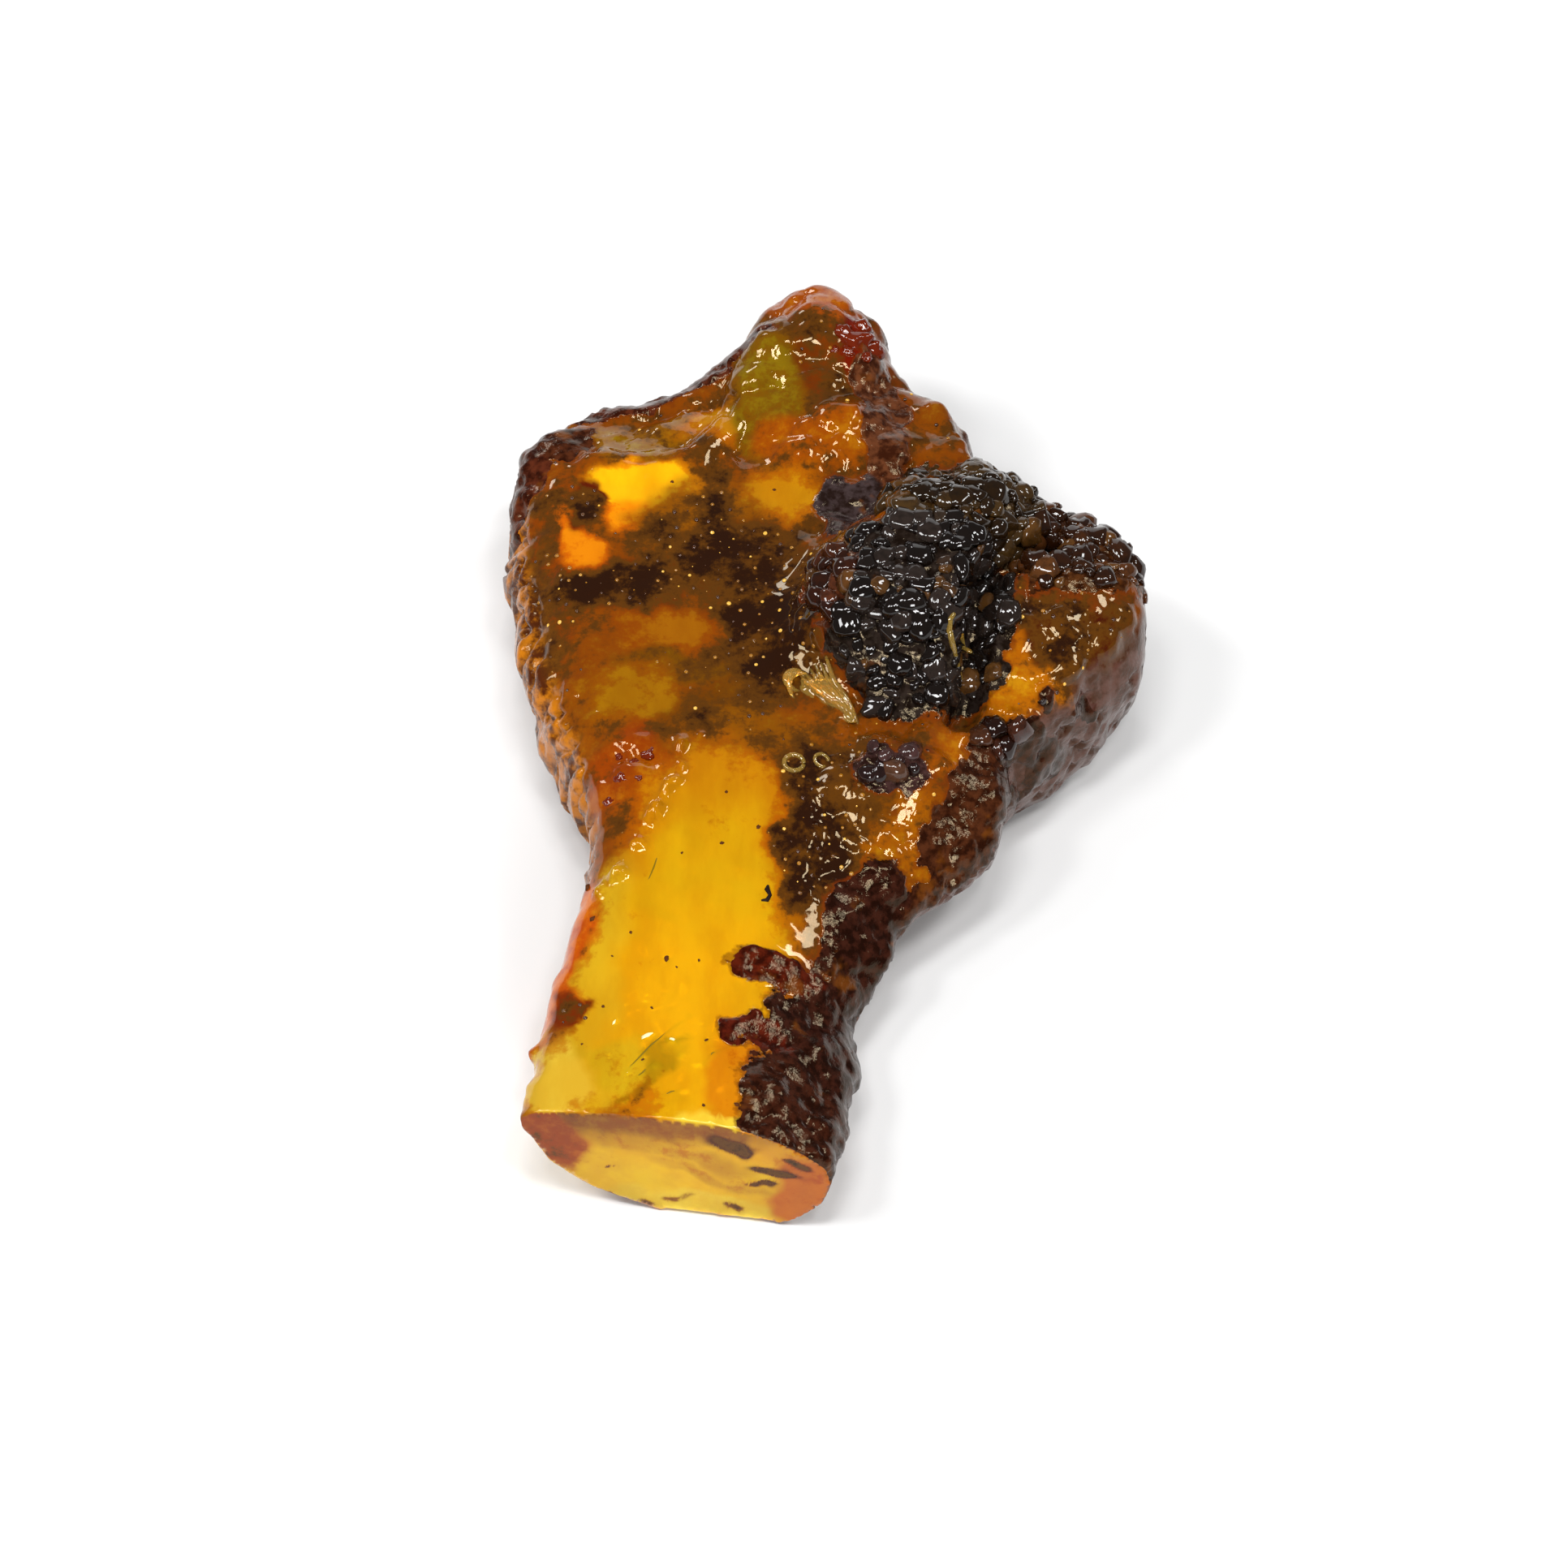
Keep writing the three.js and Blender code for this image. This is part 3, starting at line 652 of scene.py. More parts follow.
def new_material(name):
    material = bpy.data.materials.new(name)
    material.use_nodes = True
    tree = material.node_tree
    tree.nodes.clear()
    shader = add(tree, "ShaderNodeBsdfPrincipled")
    output = add(tree, "ShaderNodeOutputMaterial")
    tree.links.new(shader.outputs[0], output.inputs["Surface"])
    return material, tree, shader, output


kept_light = [math.exp(-ABSORB_DENSITY * (1 - channel) * 10 * MM) for channel in ABSORB_COLOUR[:3]]
print("light left after 10 mm of resin:", [round(share, 2) for share in kept_light])

# %% [markdown]
# ## The finish of the body
# Colour comes in three layers that the stored values choose between: the resin with its clouds of
# plant debris, the thin brown skin of the walls, and the bark. Only the resin lets light through.
# The crust's mask is eased over a narrow band only, as a crust's edge is sharp but never cut.


# %% Amber finish
def resin_colour(tree, place, tint, debris):
    """The resin's tint, browned and then darkened where plant debris clouds it."""
    coarse = maths(tree, "SUBTRACT", speckle(tree, place, 2.2, 6.0, 0.62), 0.5)
    fine = maths(tree, "SUBTRACT", speckle(tree, place, 0.45, 4.0, 0.65), 0.5)
    murk = maths(tree, "MULTIPLY_ADD", coarse, 1.35, debris)
    murk = maths(tree, "MULTIPLY_ADD", fine, 0.7, murk)
    along = add(tree, "ShaderNodeMapping", None, Vector=place, Scale=WISP_STRETCH).outputs[0]
    wisps = mask(tree, speckle(tree, along, 2.6, 5.0, 0.6), 0.36, 0.66)
    tint = blend(tree, wisps, times(tree, tint, linear("EEE2C0")), tint)
    warm = times(tree, tint, linear("E2BC90"))
    colour = blend(tree, mask(tree, murk, 0.12, 0.42), tint, warm)
    colour = blend(tree, mask(tree, murk, 0.38, 0.66), colour, linear("4E2C08"))
    return blend(tree, mask(tree, murk, 0.64, 0.94), colour, linear("220E05")), murk


def bark_colour(tree, place, bark_tint):
    """Dark crust, lighter on some grains, with a few honey-brown windows."""
    patches = speckle(tree, place, 1.8)
    grains = speckle(tree, place, 0.5, 4.0)
    dark = times(tree, bark_tint, linear("8C7468"))
    colour = blend(tree, mask(tree, grains, 0.36, 0.66), dark, bark_tint)
    windows = mask(tree, patches, 0.60, 0.72)
    return blend(tree, maths(tree, "MULTIPLY", windows, 0.5), colour, linear("6E3A0C"))


def skin_colour(tree, place):
    """Weathered skin: warm brown on the left wall and purplish grey on the right one."""
    across = add(tree, "ShaderNodeSeparateXYZ", None, i0=place).outputs[0]
    weathered = mask(tree, speckle(tree, place, 1.3, 5.0, 0.65), 0.40, 0.60)
    left = blend(tree, weathered, linear("AA640E"), linear("441C06"))
    right = blend(tree, weathered, linear("36190E"), linear("50342E"))
    return blend(tree, mask(tree, across, -3 * MM, 3 * MM), left, right)


def amber_material():
    material, tree, shader, output = new_material("amber with weathered bark")
    place = add(tree, "ShaderNodeTexCoord").outputs["Object"]
    crust, skin, clear = (stored(tree, name) for name in ("crust", "skin", "clear"))

    lobes = maths(tree, "SUBTRACT", speckle(tree, place, 0.8), 0.5)
    edge = maths(tree, "MULTIPLY_ADD", lobes, 0.45, crust)
    bark = mask(tree, edge, 0.0, 0.04)
    stain = mask(tree, edge, -0.09, 0.0)

    resin, murk = resin_colour(tree, place, stored(tree, "tint", "Color"), stored(tree, "debris"))
    resin = blend(tree, maths(tree, "MULTIPLY", stain, 0.6), resin, linear("6A2804"))
    colour = blend(tree, skin, resin, skin_colour(tree, place))
    bark_look = bark_colour(tree, place, stored(tree, "bark_tint", "Color"))
    colour = blend(tree, bark, colour, bark_look)
    tree.links.new(colour, shader.inputs["Base Color"])

    open_share = maths(tree, "SUBTRACT", 1.0, maths(tree, "MAXIMUM", bark, skin))
    see_through = maths(tree, "MULTIPLY", clear, open_share)
    see_through = maths(tree, "MULTIPLY", see_through, level(tree, mask(tree, murk, 0.3, 0.7), 1.0, 0.3))
    tree.links.new(see_through, shader.inputs["Transmission Weight"])

    gloss = level(tree, skin, level(tree, bark, 0.05, 0.08), 0.16)
    tree.links.new(gloss, shader.inputs["Roughness"])
    grain = speckle(tree, place, 0.35, 4.0)
    bump_height = maths(tree, "MULTIPLY", grain, maths(tree, "MAXIMUM", bark, skin))
    bump = add(tree, "ShaderNodeBump", None, Strength=0.4, Distance=0.1 * MM, Height=bump_height)
    tree.links.new(bump.outputs[0], shader.inputs["Normal"])
    shader.inputs["IOR"].default_value = AMBER_IOR
    shader.inputs["Specular IOR Level"].default_value = SHEEN
    shader.inputs["Specular Tint"].default_value = SHEEN_TINT

    depth = add(tree, "ShaderNodeVolumeAbsorption", None, Color=ABSORB_COLOUR, Density=ABSORB_DENSITY)
    tree.links.new(depth.outputs[0], output.inputs["Volume"])
    return material


amber_finish = amber_material()
body.data.materials.clear()
body.data.materials.append(amber_finish)
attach(body, "root")
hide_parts("amber_piece")
print("body finish:", amber_finish.name, "with", len(amber_finish.node_tree.nodes), "nodes")

# %% [markdown]
# ## Beads of the crust
# On the mound and the right lobe the crust is a froth that set hard: beads from half a millimetre to
# over a millimetre and a half across, side by side. Each bead carries a number that its finish turns
# into a shade, so that a few of them are warm and the rest nearly black. The clouded resin holds
# grains of plant debris, brown for the most part and now and then golden.


# %% Bead finish
def bead_material():
    material, tree, shader, _ = new_material("glassy crust beads")
    place = add(tree, "ShaderNodeTexCoord").outputs["Object"]
    shade = stored(tree, "shade")
    bark_tint = stored(tree, "bark_tint", "Color")
    dark = times(tree, bark_tint, linear("908884"))
    colour = blend(tree, mask(tree, shade, 0.35, 0.75), dark, bark_tint)
    warm = maths(tree, "MULTIPLY", mask(tree, shade, 0.90, 0.94), 0.8)
    colour = blend(tree, warm, colour, linear("503212"))
    grain = mask(tree, speckle(tree, place, 0.4, 4.0), 0.4, 0.7)
    colour = blend(tree, maths(tree, "MULTIPLY", grain, 0.5), colour, linear("0C0806"))
    tree.links.new(colour, shader.inputs["Base Color"])
    shader.inputs["Roughness"].default_value = 0.05
    shader.inputs["Specular IOR Level"].default_value = BEAD_SHEEN
    shader.inputs["IOR"].default_value = AMBER_IOR
    return material


def grain_material():
    material, tree, shader, _ = new_material("grains in the clouded resin")
    shade = stored(tree, "shade")
    colour = blend(tree, mask(tree, shade, 0.2, 0.7), linear("3A1C08"), linear("8A5A10"))
    colour = blend(tree, mask(tree, shade, 0.85, 0.9), colour, linear("D0A040"))
    tree.links.new(colour, shader.inputs["Base Color"])
    shader.inputs["Roughness"].default_value = 0.1
    return material


bead_finish = bead_material()
grain_finish = grain_material()
print("scattered finishes:", bead_finish.name, "and", grain_finish.name)


# %% [markdown]
# ## Geometry Nodes that scatter
# One function makes the trees for the beads of the crust and the grains in the clouded resin. They
# scatter balls where the body says so, with their middles on its surface, so each is half sunk. The
# inputs are the spacing, the smallest and largest radius and the seed, and each piece sets its own.
# A tree ends in real geometry with a material, so what it grows is kept as a plain mesh.


# %% Scatter the beads
CROWDED = 9e6  # points tried per square metre, more than the spacing lets stand
FLATNESS = 0.62  # a bead's height as a share of its width
SHADE_SEED = 21
UNEVEN_SPACING = 0.8  # mm
EASE = 0.5 * MM  # beads this close to the sides of the box are squeezed, so none is cut flat
BEAD_SIZES = {"Spacing": 0.64 * MM, "Smallest": 0.25 * MM, "Largest": 0.85 * MM, "Seed": 4}
GRAIN_SIZES = {"Spacing": 0.6 * MM, "Smallest": 0.03 * MM, "Largest": 0.13 * MM, "Seed": 4}
BEAD_UNEVENNESS, GRAIN_UNEVENNESS = 0.34, 0.03  # mm


def bead_tree(name, material, where_name):
    """Scatters balls on a mesh where the named value is high; lengths are in metres."""
    tree = bpy.data.node_groups.new(name, "GeometryNodeTree")
    sockets = (("Spacing", "Float"), ("Smallest", "Float"), ("Largest", "Float"), ("Seed", "Int"))
    tree.interface.new_socket("Geometry", in_out="INPUT", socket_type="NodeSocketGeometry")
    for label, kind in sockets:
        tree.interface.new_socket(label, in_out="INPUT", socket_type="NodeSocket" + kind)
    tree.interface.new_socket("Geometry", in_out="OUTPUT", socket_type="NodeSocketGeometry")
    start = add(tree, "NodeGroupInput").outputs
    where = add(tree, "GeometryNodeInputNamedAttribute", {"data_type": "FLOAT"}, Name=where_name)
    points = add(tree, "GeometryNodeDistributePointsOnFaces", {"distribute_method": "POISSON"},
                 Mesh=start["Geometry"], Distance_Min=start["Spacing"], Density_Max=CROWDED,
                 Density_Factor=where.outputs["Attribute"], Seed=start["Seed"])
    size = add(tree, "FunctionNodeRandomValue", {"data_type": "FLOAT"}, i2=start["Smallest"],
               i3=start["Largest"], Seed=start["Seed"])
    shade = add(tree, "FunctionNodeRandomValue", {"data_type": "FLOAT"}, i2=0.0, i3=1.0, Seed=SHADE_SEED)
    flat = maths(tree, "MULTIPLY", size.outputs[1], FLATNESS)
    stretched = add(tree, "ShaderNodeCombineXYZ", None, X=size.outputs[1], Y=size.outputs[1], Z=flat)
    ball = add(tree, "GeometryNodeMeshIcoSphere", None, Radius=1.0, Subdivisions=2)
    beads = add(tree, "GeometryNodeInstanceOnPoints", None, Points=points.outputs["Points"],
                Instance=ball.outputs[0], Rotation=points.outputs["Rotation"], Scale=stretched.outputs[0])
    shaded = add(tree, "GeometryNodeStoreNamedAttribute", {"domain": "INSTANCE"},
                 Geometry=beads.outputs[0], Name="shade", Value=shade.outputs[1])
    real = add(tree, "GeometryNodeRealizeInstances", None, Geometry=shaded.outputs[0])
    smooth = add(tree, "GeometryNodeSetShadeSmooth", None, Geometry=real.outputs[0])
    finish = add(tree, "GeometryNodeSetMaterial", None, Geometry=smooth.outputs[0], Material=material)
    end = add(tree, "NodeGroupOutput")
    tree.links.new(finish.outputs[0], end.inputs[0])
    return tree


def eased(value, low, high):
    """The value, pressed together near the sides of the box so that it stays inside."""
    if high - value < EASE:
        return high - EASE * math.exp((high - value) / EASE - 1)
    if value - low < EASE:
        return low + EASE * math.exp((value - low) / EASE - 1)
    return value


def grown(name, source, tree, unevenness, settings):
    """A new piece with the mesh that a node tree grows on the source, made uneven in mm."""
    piece = bpy.data.objects.new(name, source.data)
    bpy.context.scene.collection.objects.link(piece)
    grow = piece.modifiers.new("grow", "NODES")
    grow.node_group = tree
    for socket in tree.interface.items_tree:
        if socket.name in settings:
            grow[socket.identifier] = settings[socket.name]
    depsgraph = bpy.context.evaluated_depsgraph_get()
    mesh = bpy.data.meshes.new_from_object(piece.evaluated_get(depsgraph))
    piece.modifiers.clear()
    piece.data = mesh
    for vertex in mesh.vertices:
        uneven = vertex.co + wobble(vertex.co / MM / UNEVEN_SPACING) * unevenness * MM
        vertex.co = Vector(eased(p, l, h) for p, l, h in zip(uneven, cad_low, cad_high))
    print(name, "has", len(mesh.polygons), "faces")
    return piece


beads_grow = bead_tree("beads", bead_finish, "beaded")
grains_grow = bead_tree("grains", grain_finish, "gritty")
beads = grown("crust_beads", body, beads_grow, BEAD_UNEVENNESS, BEAD_SIZES)
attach(beads, "root")
grains = grown("resin_grains", body, grains_grow, GRAIN_UNEVENNESS, GRAIN_SIZES)
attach(grains, "root")

# %% [markdown]
# ## What is sealed in the resin
# The clear neck holds a comma-shaped speck of wood, a score of brown specks, small gas bubbles and a
# group of round stress cracks that flash like sequins; here the flash is a painted highlight, a
# pale, nearly white colour on each crack. Each is placed by a ray that goes straight down to the
# resin's surface and then on to the given depth, so nothing hangs outside. Two shapes serve for all
# of them: a pebble is a ball that is stretched and dented, and a rope is a closed tube.

# %% Place by depth
RAY_START = 30  # mm above the floor, well clear of the lump
ROPE_END = 0.35  # a thinning rope's radius at its ends, as a share of its middle
surface = BVHTree.FromPolygons([v.co.copy() for v in body.data.vertices],
                               [tuple(p.vertices) for p in body.data.polygons])


def below(x, y, depth):
    """The point under the top surface at a place in plan, in metres."""
    hit = surface.ray_cast(Vector((x, y, RAY_START)) * MM, Vector((0, 0, -1)))[0]
    return hit - Vector((0, 0, depth * MM))


def joined(name, meshes, material):
    """One piece from several bmesh objects."""
    mesh = bpy.data.meshes.new(name)
    whole = bmesh.new()
    for bm in meshes:
        part = bpy.data.meshes.new("part")
        bm.to_mesh(part)
        bm.free()
        whole.from_mesh(part)
        bpy.data.meshes.remove(part)
    bmesh.ops.recalc_face_normals(whole, faces=whole.faces)
    whole.to_mesh(mesh)
    whole.free()
    for polygon in mesh.polygons:
        polygon.use_smooth = True
    mesh.materials.append(material)
    piece = bpy.data.objects.new(name, mesh)
    bpy.context.scene.collection.objects.link(piece)
    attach(piece, "root")
    print(name, "has", len(mesh.polygons), "faces")


def pebble(centre, radii, turn=0.0, detail=2, rough=0.0, tilt=0.0):
    """A rounded grain in metres: an icosphere that is stretched, turned and made uneven."""
    bm = bmesh.new()
    bmesh.ops.create_icosphere(bm, subdivisions=detail, radius=1.0)
    turned = Matrix.Rotation(math.radians(turn), 3, "Z") @ Matrix.Rotation(math.radians(tilt), 3, "X")
    for vertex in bm.verts:
        swell = 1 + rough * noise.noise(vertex.co * 1.7 + centre / MM)
        vertex.co = turned @ Vector(c * r * MM * swell for c, r in zip(vertex.co, radii)) + centre
    return bm


def rope(points, radii, sides=8):
    """A closed tube through points (metres) with a radius in mm at each point."""
    bm = bmesh.new()
    rings = []
    for i, (point, radius) in enumerate(zip(points, radii)):
        ahead = points[min(i + 1, len(points) - 1)] - points[max(i - 1, 0)]
        turned = ahead.to_track_quat("Z", "Y")
        ring = []
        for k in range(sides):
            a = 2 * math.pi * k / sides
            ring.append(bm.verts.new(point + turned @ Vector((math.cos(a), math.sin(a), 0)) * radius * MM))
        rings.append(ring)
    for one, two in zip(rings, rings[1:]):
        for k in range(sides):
            bm.faces.new((one[k], one[(k + 1) % sides], two[(k + 1) % sides], two[k]))
    bm.faces.new(rings[0][::-1])
    bm.faces.new(rings[-1])
    return bm


def thinning(radius, count=14):
    """Radii of a rope that thins at both ends."""
    waves = [math.sin(math.pi * i / (count - 1)) for i in range(count)]
    return [radius * (ROPE_END + (1 - ROPE_END) * wave) for wave in waves]


print("the resin's face lies", round(below(-3.0, -14.0, 0.0).z / MM, 1), "mm up at the comma speck")

# %% [markdown]
# ## Finishes of what is sealed in
# Wood and plant grains are dull and dark. A stress crack is a gap in the resin that mirrors light;
# here its flash is a painted highlight, given by a pale, nearly white colour on an opaque flake.
# A gas bubble bends light the other way, so its IOR is one over that of amber.


# %% Small finishes
def plain_material(name, colour, roughness, transmission=0.0, ior=1.5, sheen=0.5):
    material, _, shader, _ = new_material(name)
    shader.inputs["Base Color"].default_value = linear(colour)
    shader.inputs["Roughness"].default_value = roughness
    shader.inputs["Transmission Weight"].default_value = transmission
    shader.inputs["IOR"].default_value = ior
    shader.inputs["Specular IOR Level"].default_value = sheen
    return material


wood_speck = plain_material("dark wood speck", "180A04", 0.5, sheen=0.1)
brown_grain = plain_material("brown plant grain", "4A2406", 0.6, sheen=0.1)
# the stress crack's pale, nearly white colour is a painted highlight that stands in for its flash
pale_crack_painted_flash = plain_material("stress crack", "FFF2A8", 0.1)
clear_resin = plain_material("golden clear resin", "FFD060", 0.03, 0.85, AMBER_IOR)
olive_line = plain_material("healed crack", "6A5404", 0.3, sheen=0.1)
gas = plain_material("gas bubble", "FFF0B0", 0.0, 1.0, 1.0 / AMBER_IOR)
red_resin = plain_material("red resin bead", "641C04", 0.05, 0.2, AMBER_IOR, 0.3)
sealed_finishes = (wood_speck, brown_grain, pale_crack_painted_flash, clear_resin, olive_line, gas, red_resin)
print("finishes:", ", ".join(finish.name for finish in sealed_finishes))

# %% [markdown]
# ## Specks, cracks and bubbles
# The comma-shaped speck is a short rope, the crumbs are uneven pebbles, a stress crack is a pebble
# pressed flat and tilted so that a lamp may glint on it, with its flash painted in as a highlight by
# its pale colour, and a healed crack is a hair-thin rope just under the face. All of them are small,
# so about a hundred faces each are enough.

# %% Specks, cracks and bubbles
COMMA = ((-3.25, -14.15), (-2.95, -14.1), (-2.8, -13.8), (-2.95, -13.5), (-2.9, -13.25))
COMMA_RADII, COMMA_DEPTH = (0.08, 0.14, 0.12, 0.17, 0.08), 0.06
SPECKS = (  # place in plan and radius, mm
    (-7.9, -17.7, 0.15), (-6.3, -17.8, 0.08), (-9.7, -16.1, 0.09), (-5.9, -22.6, 0.1),
    (-5.2, -11.0, 0.1), (-7.2, -11.6, 0.07), (-3.4, -10.0, 0.12), (-10.6, -17.4, 0.07),
    (-8.6, -20.6, 0.08), (-11.0, -20.4, 0.09), (-5.0, -8.0, 0.09), (-7.4, -18.2, 0.06),
    (-11.6, -14.8, 0.16), (-11.9, -12.4, 0.18), (-9.0, -23.8, 0.08), (-4.4, -26.4, 0.14),
    (-12.0, -22.6, 0.07), (-8.0, 13.2, 0.1), (-2.6, 12.6, 0.1), (-6.0, -26.6, 0.1))
STRESS_CRACKS = (  # place in plan, depth and radius in mm, then turn and tilt
    (-8.7, -22.4, 0.03, 0.40, 20, 12), (-7.6, -22.7, 0.03, 0.34, -30, 10),
    (-10.3, -21.4, 0.04, 0.30, 50, 10), (-8.3, -24.2, 0.05, 0.34, 10, 12),
    (-6.3, -24.2, 0.05, 0.30, -15, 12), (-9.6, -24.6, 0.05, 0.26, 40, 12),
    (-8.9, -20.2, 0.04, 0.20, 0, 12), (-5.2, -25.6, 0.05, 0.28, 30, 10),
    (-10.6, -23.4, 0.05, 0.24, 60, 12), (-7.1, -23.6, 0.04, 0.24, 80, 10),
    (-8.0, -23.2, 0.04, 0.22, 120, 10), (-6.9, -25.8, 0.05, 0.3, 15, 12))
CRACK_THICKNESS = 0.02
HEALED_CRACKS = (
    ((-10.4, -25.2), (-9.6, -24.2), (-8.6, -22.9), (-7.7, -22.0), (-7.0, -21.4)),
    ((-9.9, -25.4), (-9.0, -24.6), (-8.4, -23.8)),
    ((-6.3, -24.4), (-5.6, -23.4), (-4.6, -22.8), (-3.8, -22.7)),
    ((-8.6, -26.4), (-7.6, -25.8), (-6.8, -25.6)),
    ((-9.4, -14.6), (-8.6, -12.4), (-8.0, -10.2)))
HEALED_DEPTH, HEALED_RADIUS = 0.05, 0.07
GAS_BUBBLES = (  # place in plan, depth and radius, mm
    (-5.4, -15.2, 1.0, 0.10), (-8.4, -13.2, 0.8, 0.08), (-6.8, -20.6, 1.2, 0.12),
    (-9.4, -18.2, 0.9, 0.09), (-4.6, -19.0, 1.1, 0.09), (-7.0, -9.0, 0.9, 0.09))

comma_points = [below(x, y, COMMA_DEPTH) for x, y in COMMA]
joined("comma_speck", [rope(comma_points, COMMA_RADII)], wood_speck)

random.seed(12)
specks = [pebble(below(x, y, 0.5 * r), (r * 1.3, r, r), random.uniform(0, 180), 2, 0.5)
          for x, y, r in SPECKS]
joined("brown_specks", specks, brown_grain)

# each crack is tilted so that a lamp may glint on it, and its pale colour paints in the flash as well
cracks = [pebble(below(x, y, depth), (r, r * 0.6, CRACK_THICKNESS), turn, 2, 0.5, tilt)
          for x, y, depth, r, turn, tilt in STRESS_CRACKS]
joined("stress_cracks", cracks, pale_crack_painted_flash)

healed = []
for line in HEALED_CRACKS:
    points = [below(x, y, HEALED_DEPTH) for x, y in line]
    healed.append(rope(points, thinning(HEALED_RADIUS, len(points)), 6))
joined("healed_cracks", healed, olive_line)

bubbles = [pebble(below(x, y, depth), (r, r, r)) for x, y, depth, r in GAS_BUBBLES]
joined("gas_bubbles", bubbles, gas)

# %% [markdown]
# ## Drops and curls on the crust
# A torn film curled up where the mound meets the polished face, rings mark burst bubbles, and red
# drops set hard beside the neck's root and on the knob. They are clear golden or red resin.


# %% Drops and curls
SEAT, STRAND_SEAT = 0.05, 0.06  # how deep the foot of a curl or a strand sits in the surface, mm
STRANDS = 6
STRAND_STEP = 0.27  # from one strand of the torn film to the next, mm
FILM_PEBBLES = ((-0.7, -1.4, 0.6, -50), (0.3, -2.2, 0.55, -40), (1.1, -3.0, 0.4, -30))
RED_DROPS = (  # place in plan and radius, mm: at the neck's root, then on the knob
    (-10.3, -6.9, 0.42), (-9.0, -5.5, 0.42), (-9.7, -6.0, 0.3), (-10.9, -8.0, 0.3),
    (-10.4, -5.4, 0.26), (-9.4, -7.2, 0.24),
    (1.0, 22.7, 0.7), (1.9, 23.4, 0.7), (2.5, 22.3, 0.7), (1.4, 21.5, 0.45),
    (0.6, 21.6, 0.3), (2.2, 21.3, 0.4), (1.7, 22.4, 0.9))


def arc(x, y, radius, start, stop, rise, count=14):
    """Points of a curl that stands on the surface: part of a circle that leans over."""
    points = []
    for i in range(count):
        a = math.radians(start + (stop - start) * i / (count - 1))
        foot = below(x + radius * math.cos(a), y + radius * math.sin(a), SEAT)
        points.append(foot + Vector((0, 0, rise * MM * math.sin(math.pi * i / (count - 1)))))
    return points


def strand(line, rise, thick):
    """A rope along a line in plan that lifts off the surface in its middle."""
    last = len(line) - 1
    points = [below(x, y, STRAND_SEAT) + Vector((0, 0, rise * MM * math.sin(math.pi * i / last)))
              for i, (x, y) in enumerate(line)]
    return rope(points, thinning(thick, len(line)))


curls = [rope(arc(-1.5, -0.9, 0.5, 20, 290, 0.35), thinning(0.2)),
         rope(arc(-1.1, -1.3, 0.75, 70, 230, 0.45), thinning(0.16))]
for number in range(STRANDS):
    slide = STRAND_STEP * number
    line = [(-1.3 + slide, -0.5 + 0.1 * number),
            (-0.9 + slide, -1.2),
            (-0.3 + slide, -1.9 - 0.08 * number),
            (0.3 + slide * 0.8, -2.5 - 0.06 * number),
            (1.0 + slide * 0.5, -2.9 - 0.1 * number)]
    curls.append(strand(line, 0.45 - 0.05 * number, 0.17 + 0.04 * (number % 2)))
for x, y, r, turn in FILM_PEBBLES:
    curls.append(pebble(below(x, y, r * 0.2), (r * 1.4, r * 0.7, r * 0.45), turn, 3, 0.5))
joined("golden_curl", curls, clear_resin)

rings = [rope(arc(-1.6, -6.2, 0.5, 0, 350, 0.1), [0.13] * 14),
         rope(arc(7.1, 0.3, 0.8, 20, 330, 0.4), thinning(0.17)),
         rope(arc(-0.2, -6.0, 0.35, 0, 300, 0.1), [0.1] * 14)]
joined("burst_bubbles", rings, clear_resin)

drops = [pebble(below(x, y, r * 0.5), (r, r * 0.9, r * 0.8), 0, 3, 0.5) for x, y, r in RED_DROPS]
joined("red_drops", drops, red_resin)

# %% [markdown]
# ## Floor and light
# The lump lies on plain white in a light tent: soft light from all sides, and a few small lamps
# that give the wet-looking crust its sharp sparkles. The floor lies a tenth of a millimetre under
# the lump, so that the two never share a plane.

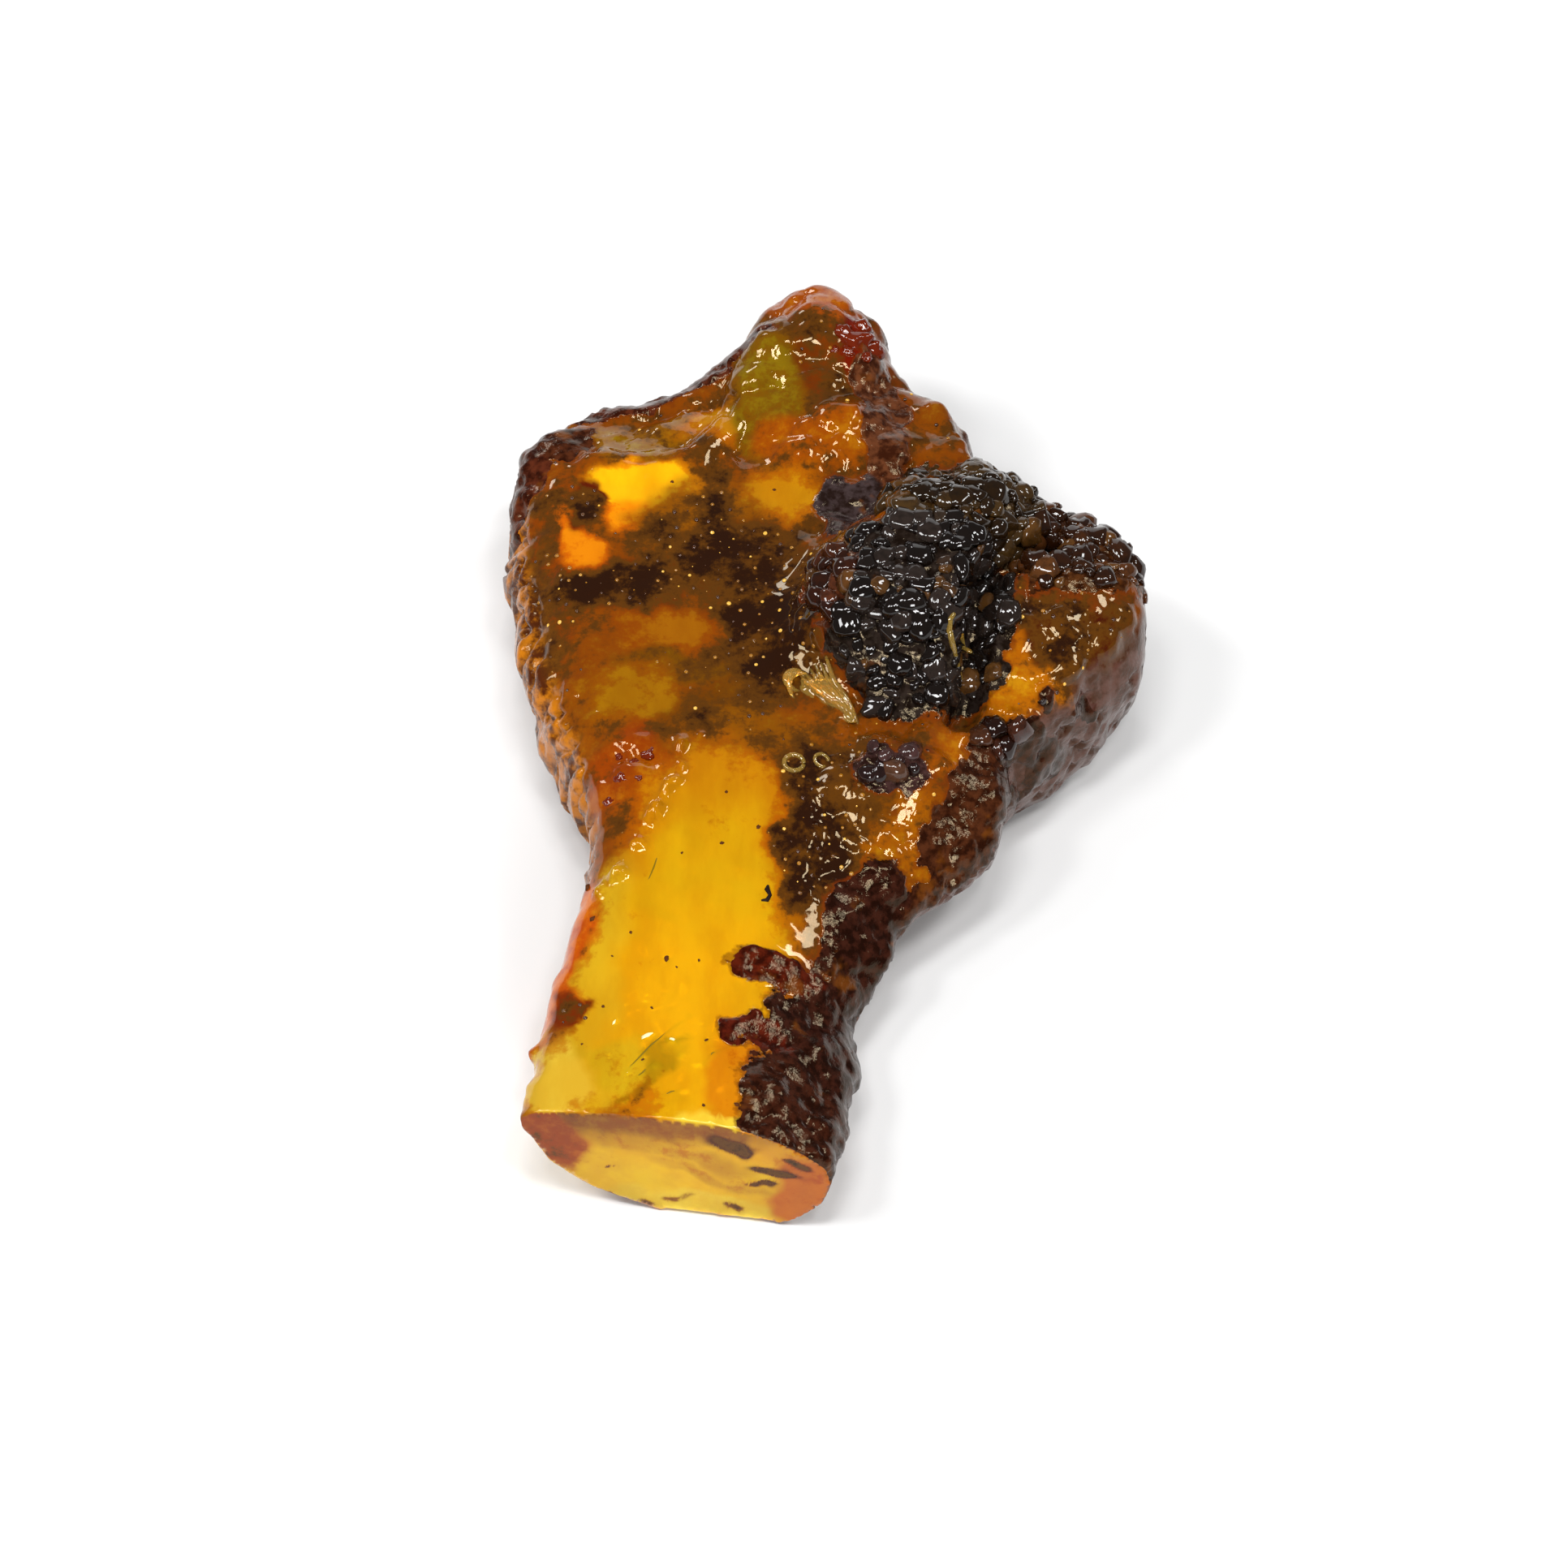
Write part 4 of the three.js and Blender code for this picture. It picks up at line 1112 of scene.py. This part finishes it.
# %% Floor and lights
FLOOR_GAP = 0.1 * MM
FLOOR_SIZE = 3.0
TENT_LIGHT = 0.14
LAMP_DISTANCE = 0.6
KEY_SIDE = 0.09
KEYS = (  # azimuth, elevation, power: small lamps give the crust its glints
    (-62, 60, 0.8), (-30, 72, 0.8), (0, 80, 0.8), (28, 68, 0.8),
    (94, 54, 0.6), (120, 44, 0.6), (-156, 26, 0.3))
SOFTBOXES = (  # name, azimuth, elevation, side, power
    ("window, left", -88, 46, 0.15, 1.6),
    ("window, low front", 10, 22, 0.16, 2.1),
    ("softbox, low behind", 175, 14, 0.3, 0.3))

bpy.ops.mesh.primitive_plane_add(size=FLOOR_SIZE, location=(0, 0, -FLOOR_GAP))
floor = bpy.context.active_object
floor.name = "floor"
paper, _, paper_shader, _ = new_material("white paper")
paper_shader.inputs["Base Color"].default_value = linear("D8D8D8")
paper_shader.inputs["Roughness"].default_value = 0.9
paper_shader.inputs["Specular IOR Level"].default_value = 0.1
floor.data.materials.append(paper)

world = bpy.data.worlds.new("light tent")
bpy.context.scene.world = world
world.use_nodes = True
world.node_tree.nodes["Background"].inputs[0].default_value = (1, 1, 1, 1)
world.node_tree.nodes["Background"].inputs[1].default_value = TENT_LIGHT


def lamp(name, azimuth, elevation, side, power):
    """A square lamp that faces the lump; azimuth 0 is behind the camera."""
    light = bpy.data.lights.new(name, "AREA")
    light.shape = "SQUARE"
    light.size = side
    light.energy = power
    holder = bpy.data.objects.new(name, light)
    a, e = math.radians(azimuth), math.radians(elevation)
    towards = Vector((math.sin(a) * math.cos(e), -math.cos(a) * math.cos(e), math.sin(e)))
    holder.location = towards * LAMP_DISTANCE
    holder.rotation_euler = towards.to_track_quat("Z", "Y").to_euler()
    bpy.context.scene.collection.objects.link(holder)


for number, (azimuth, elevation, power) in enumerate(KEYS):
    lamp("key " + str(number + 1), azimuth, elevation, KEY_SIDE, power)
for softbox in SOFTBOXES:
    lamp(*softbox)
print("lamps:", len(KEYS) + len(SOFTBOXES))
bpy.context.scene.view_settings.view_transform = "Standard"
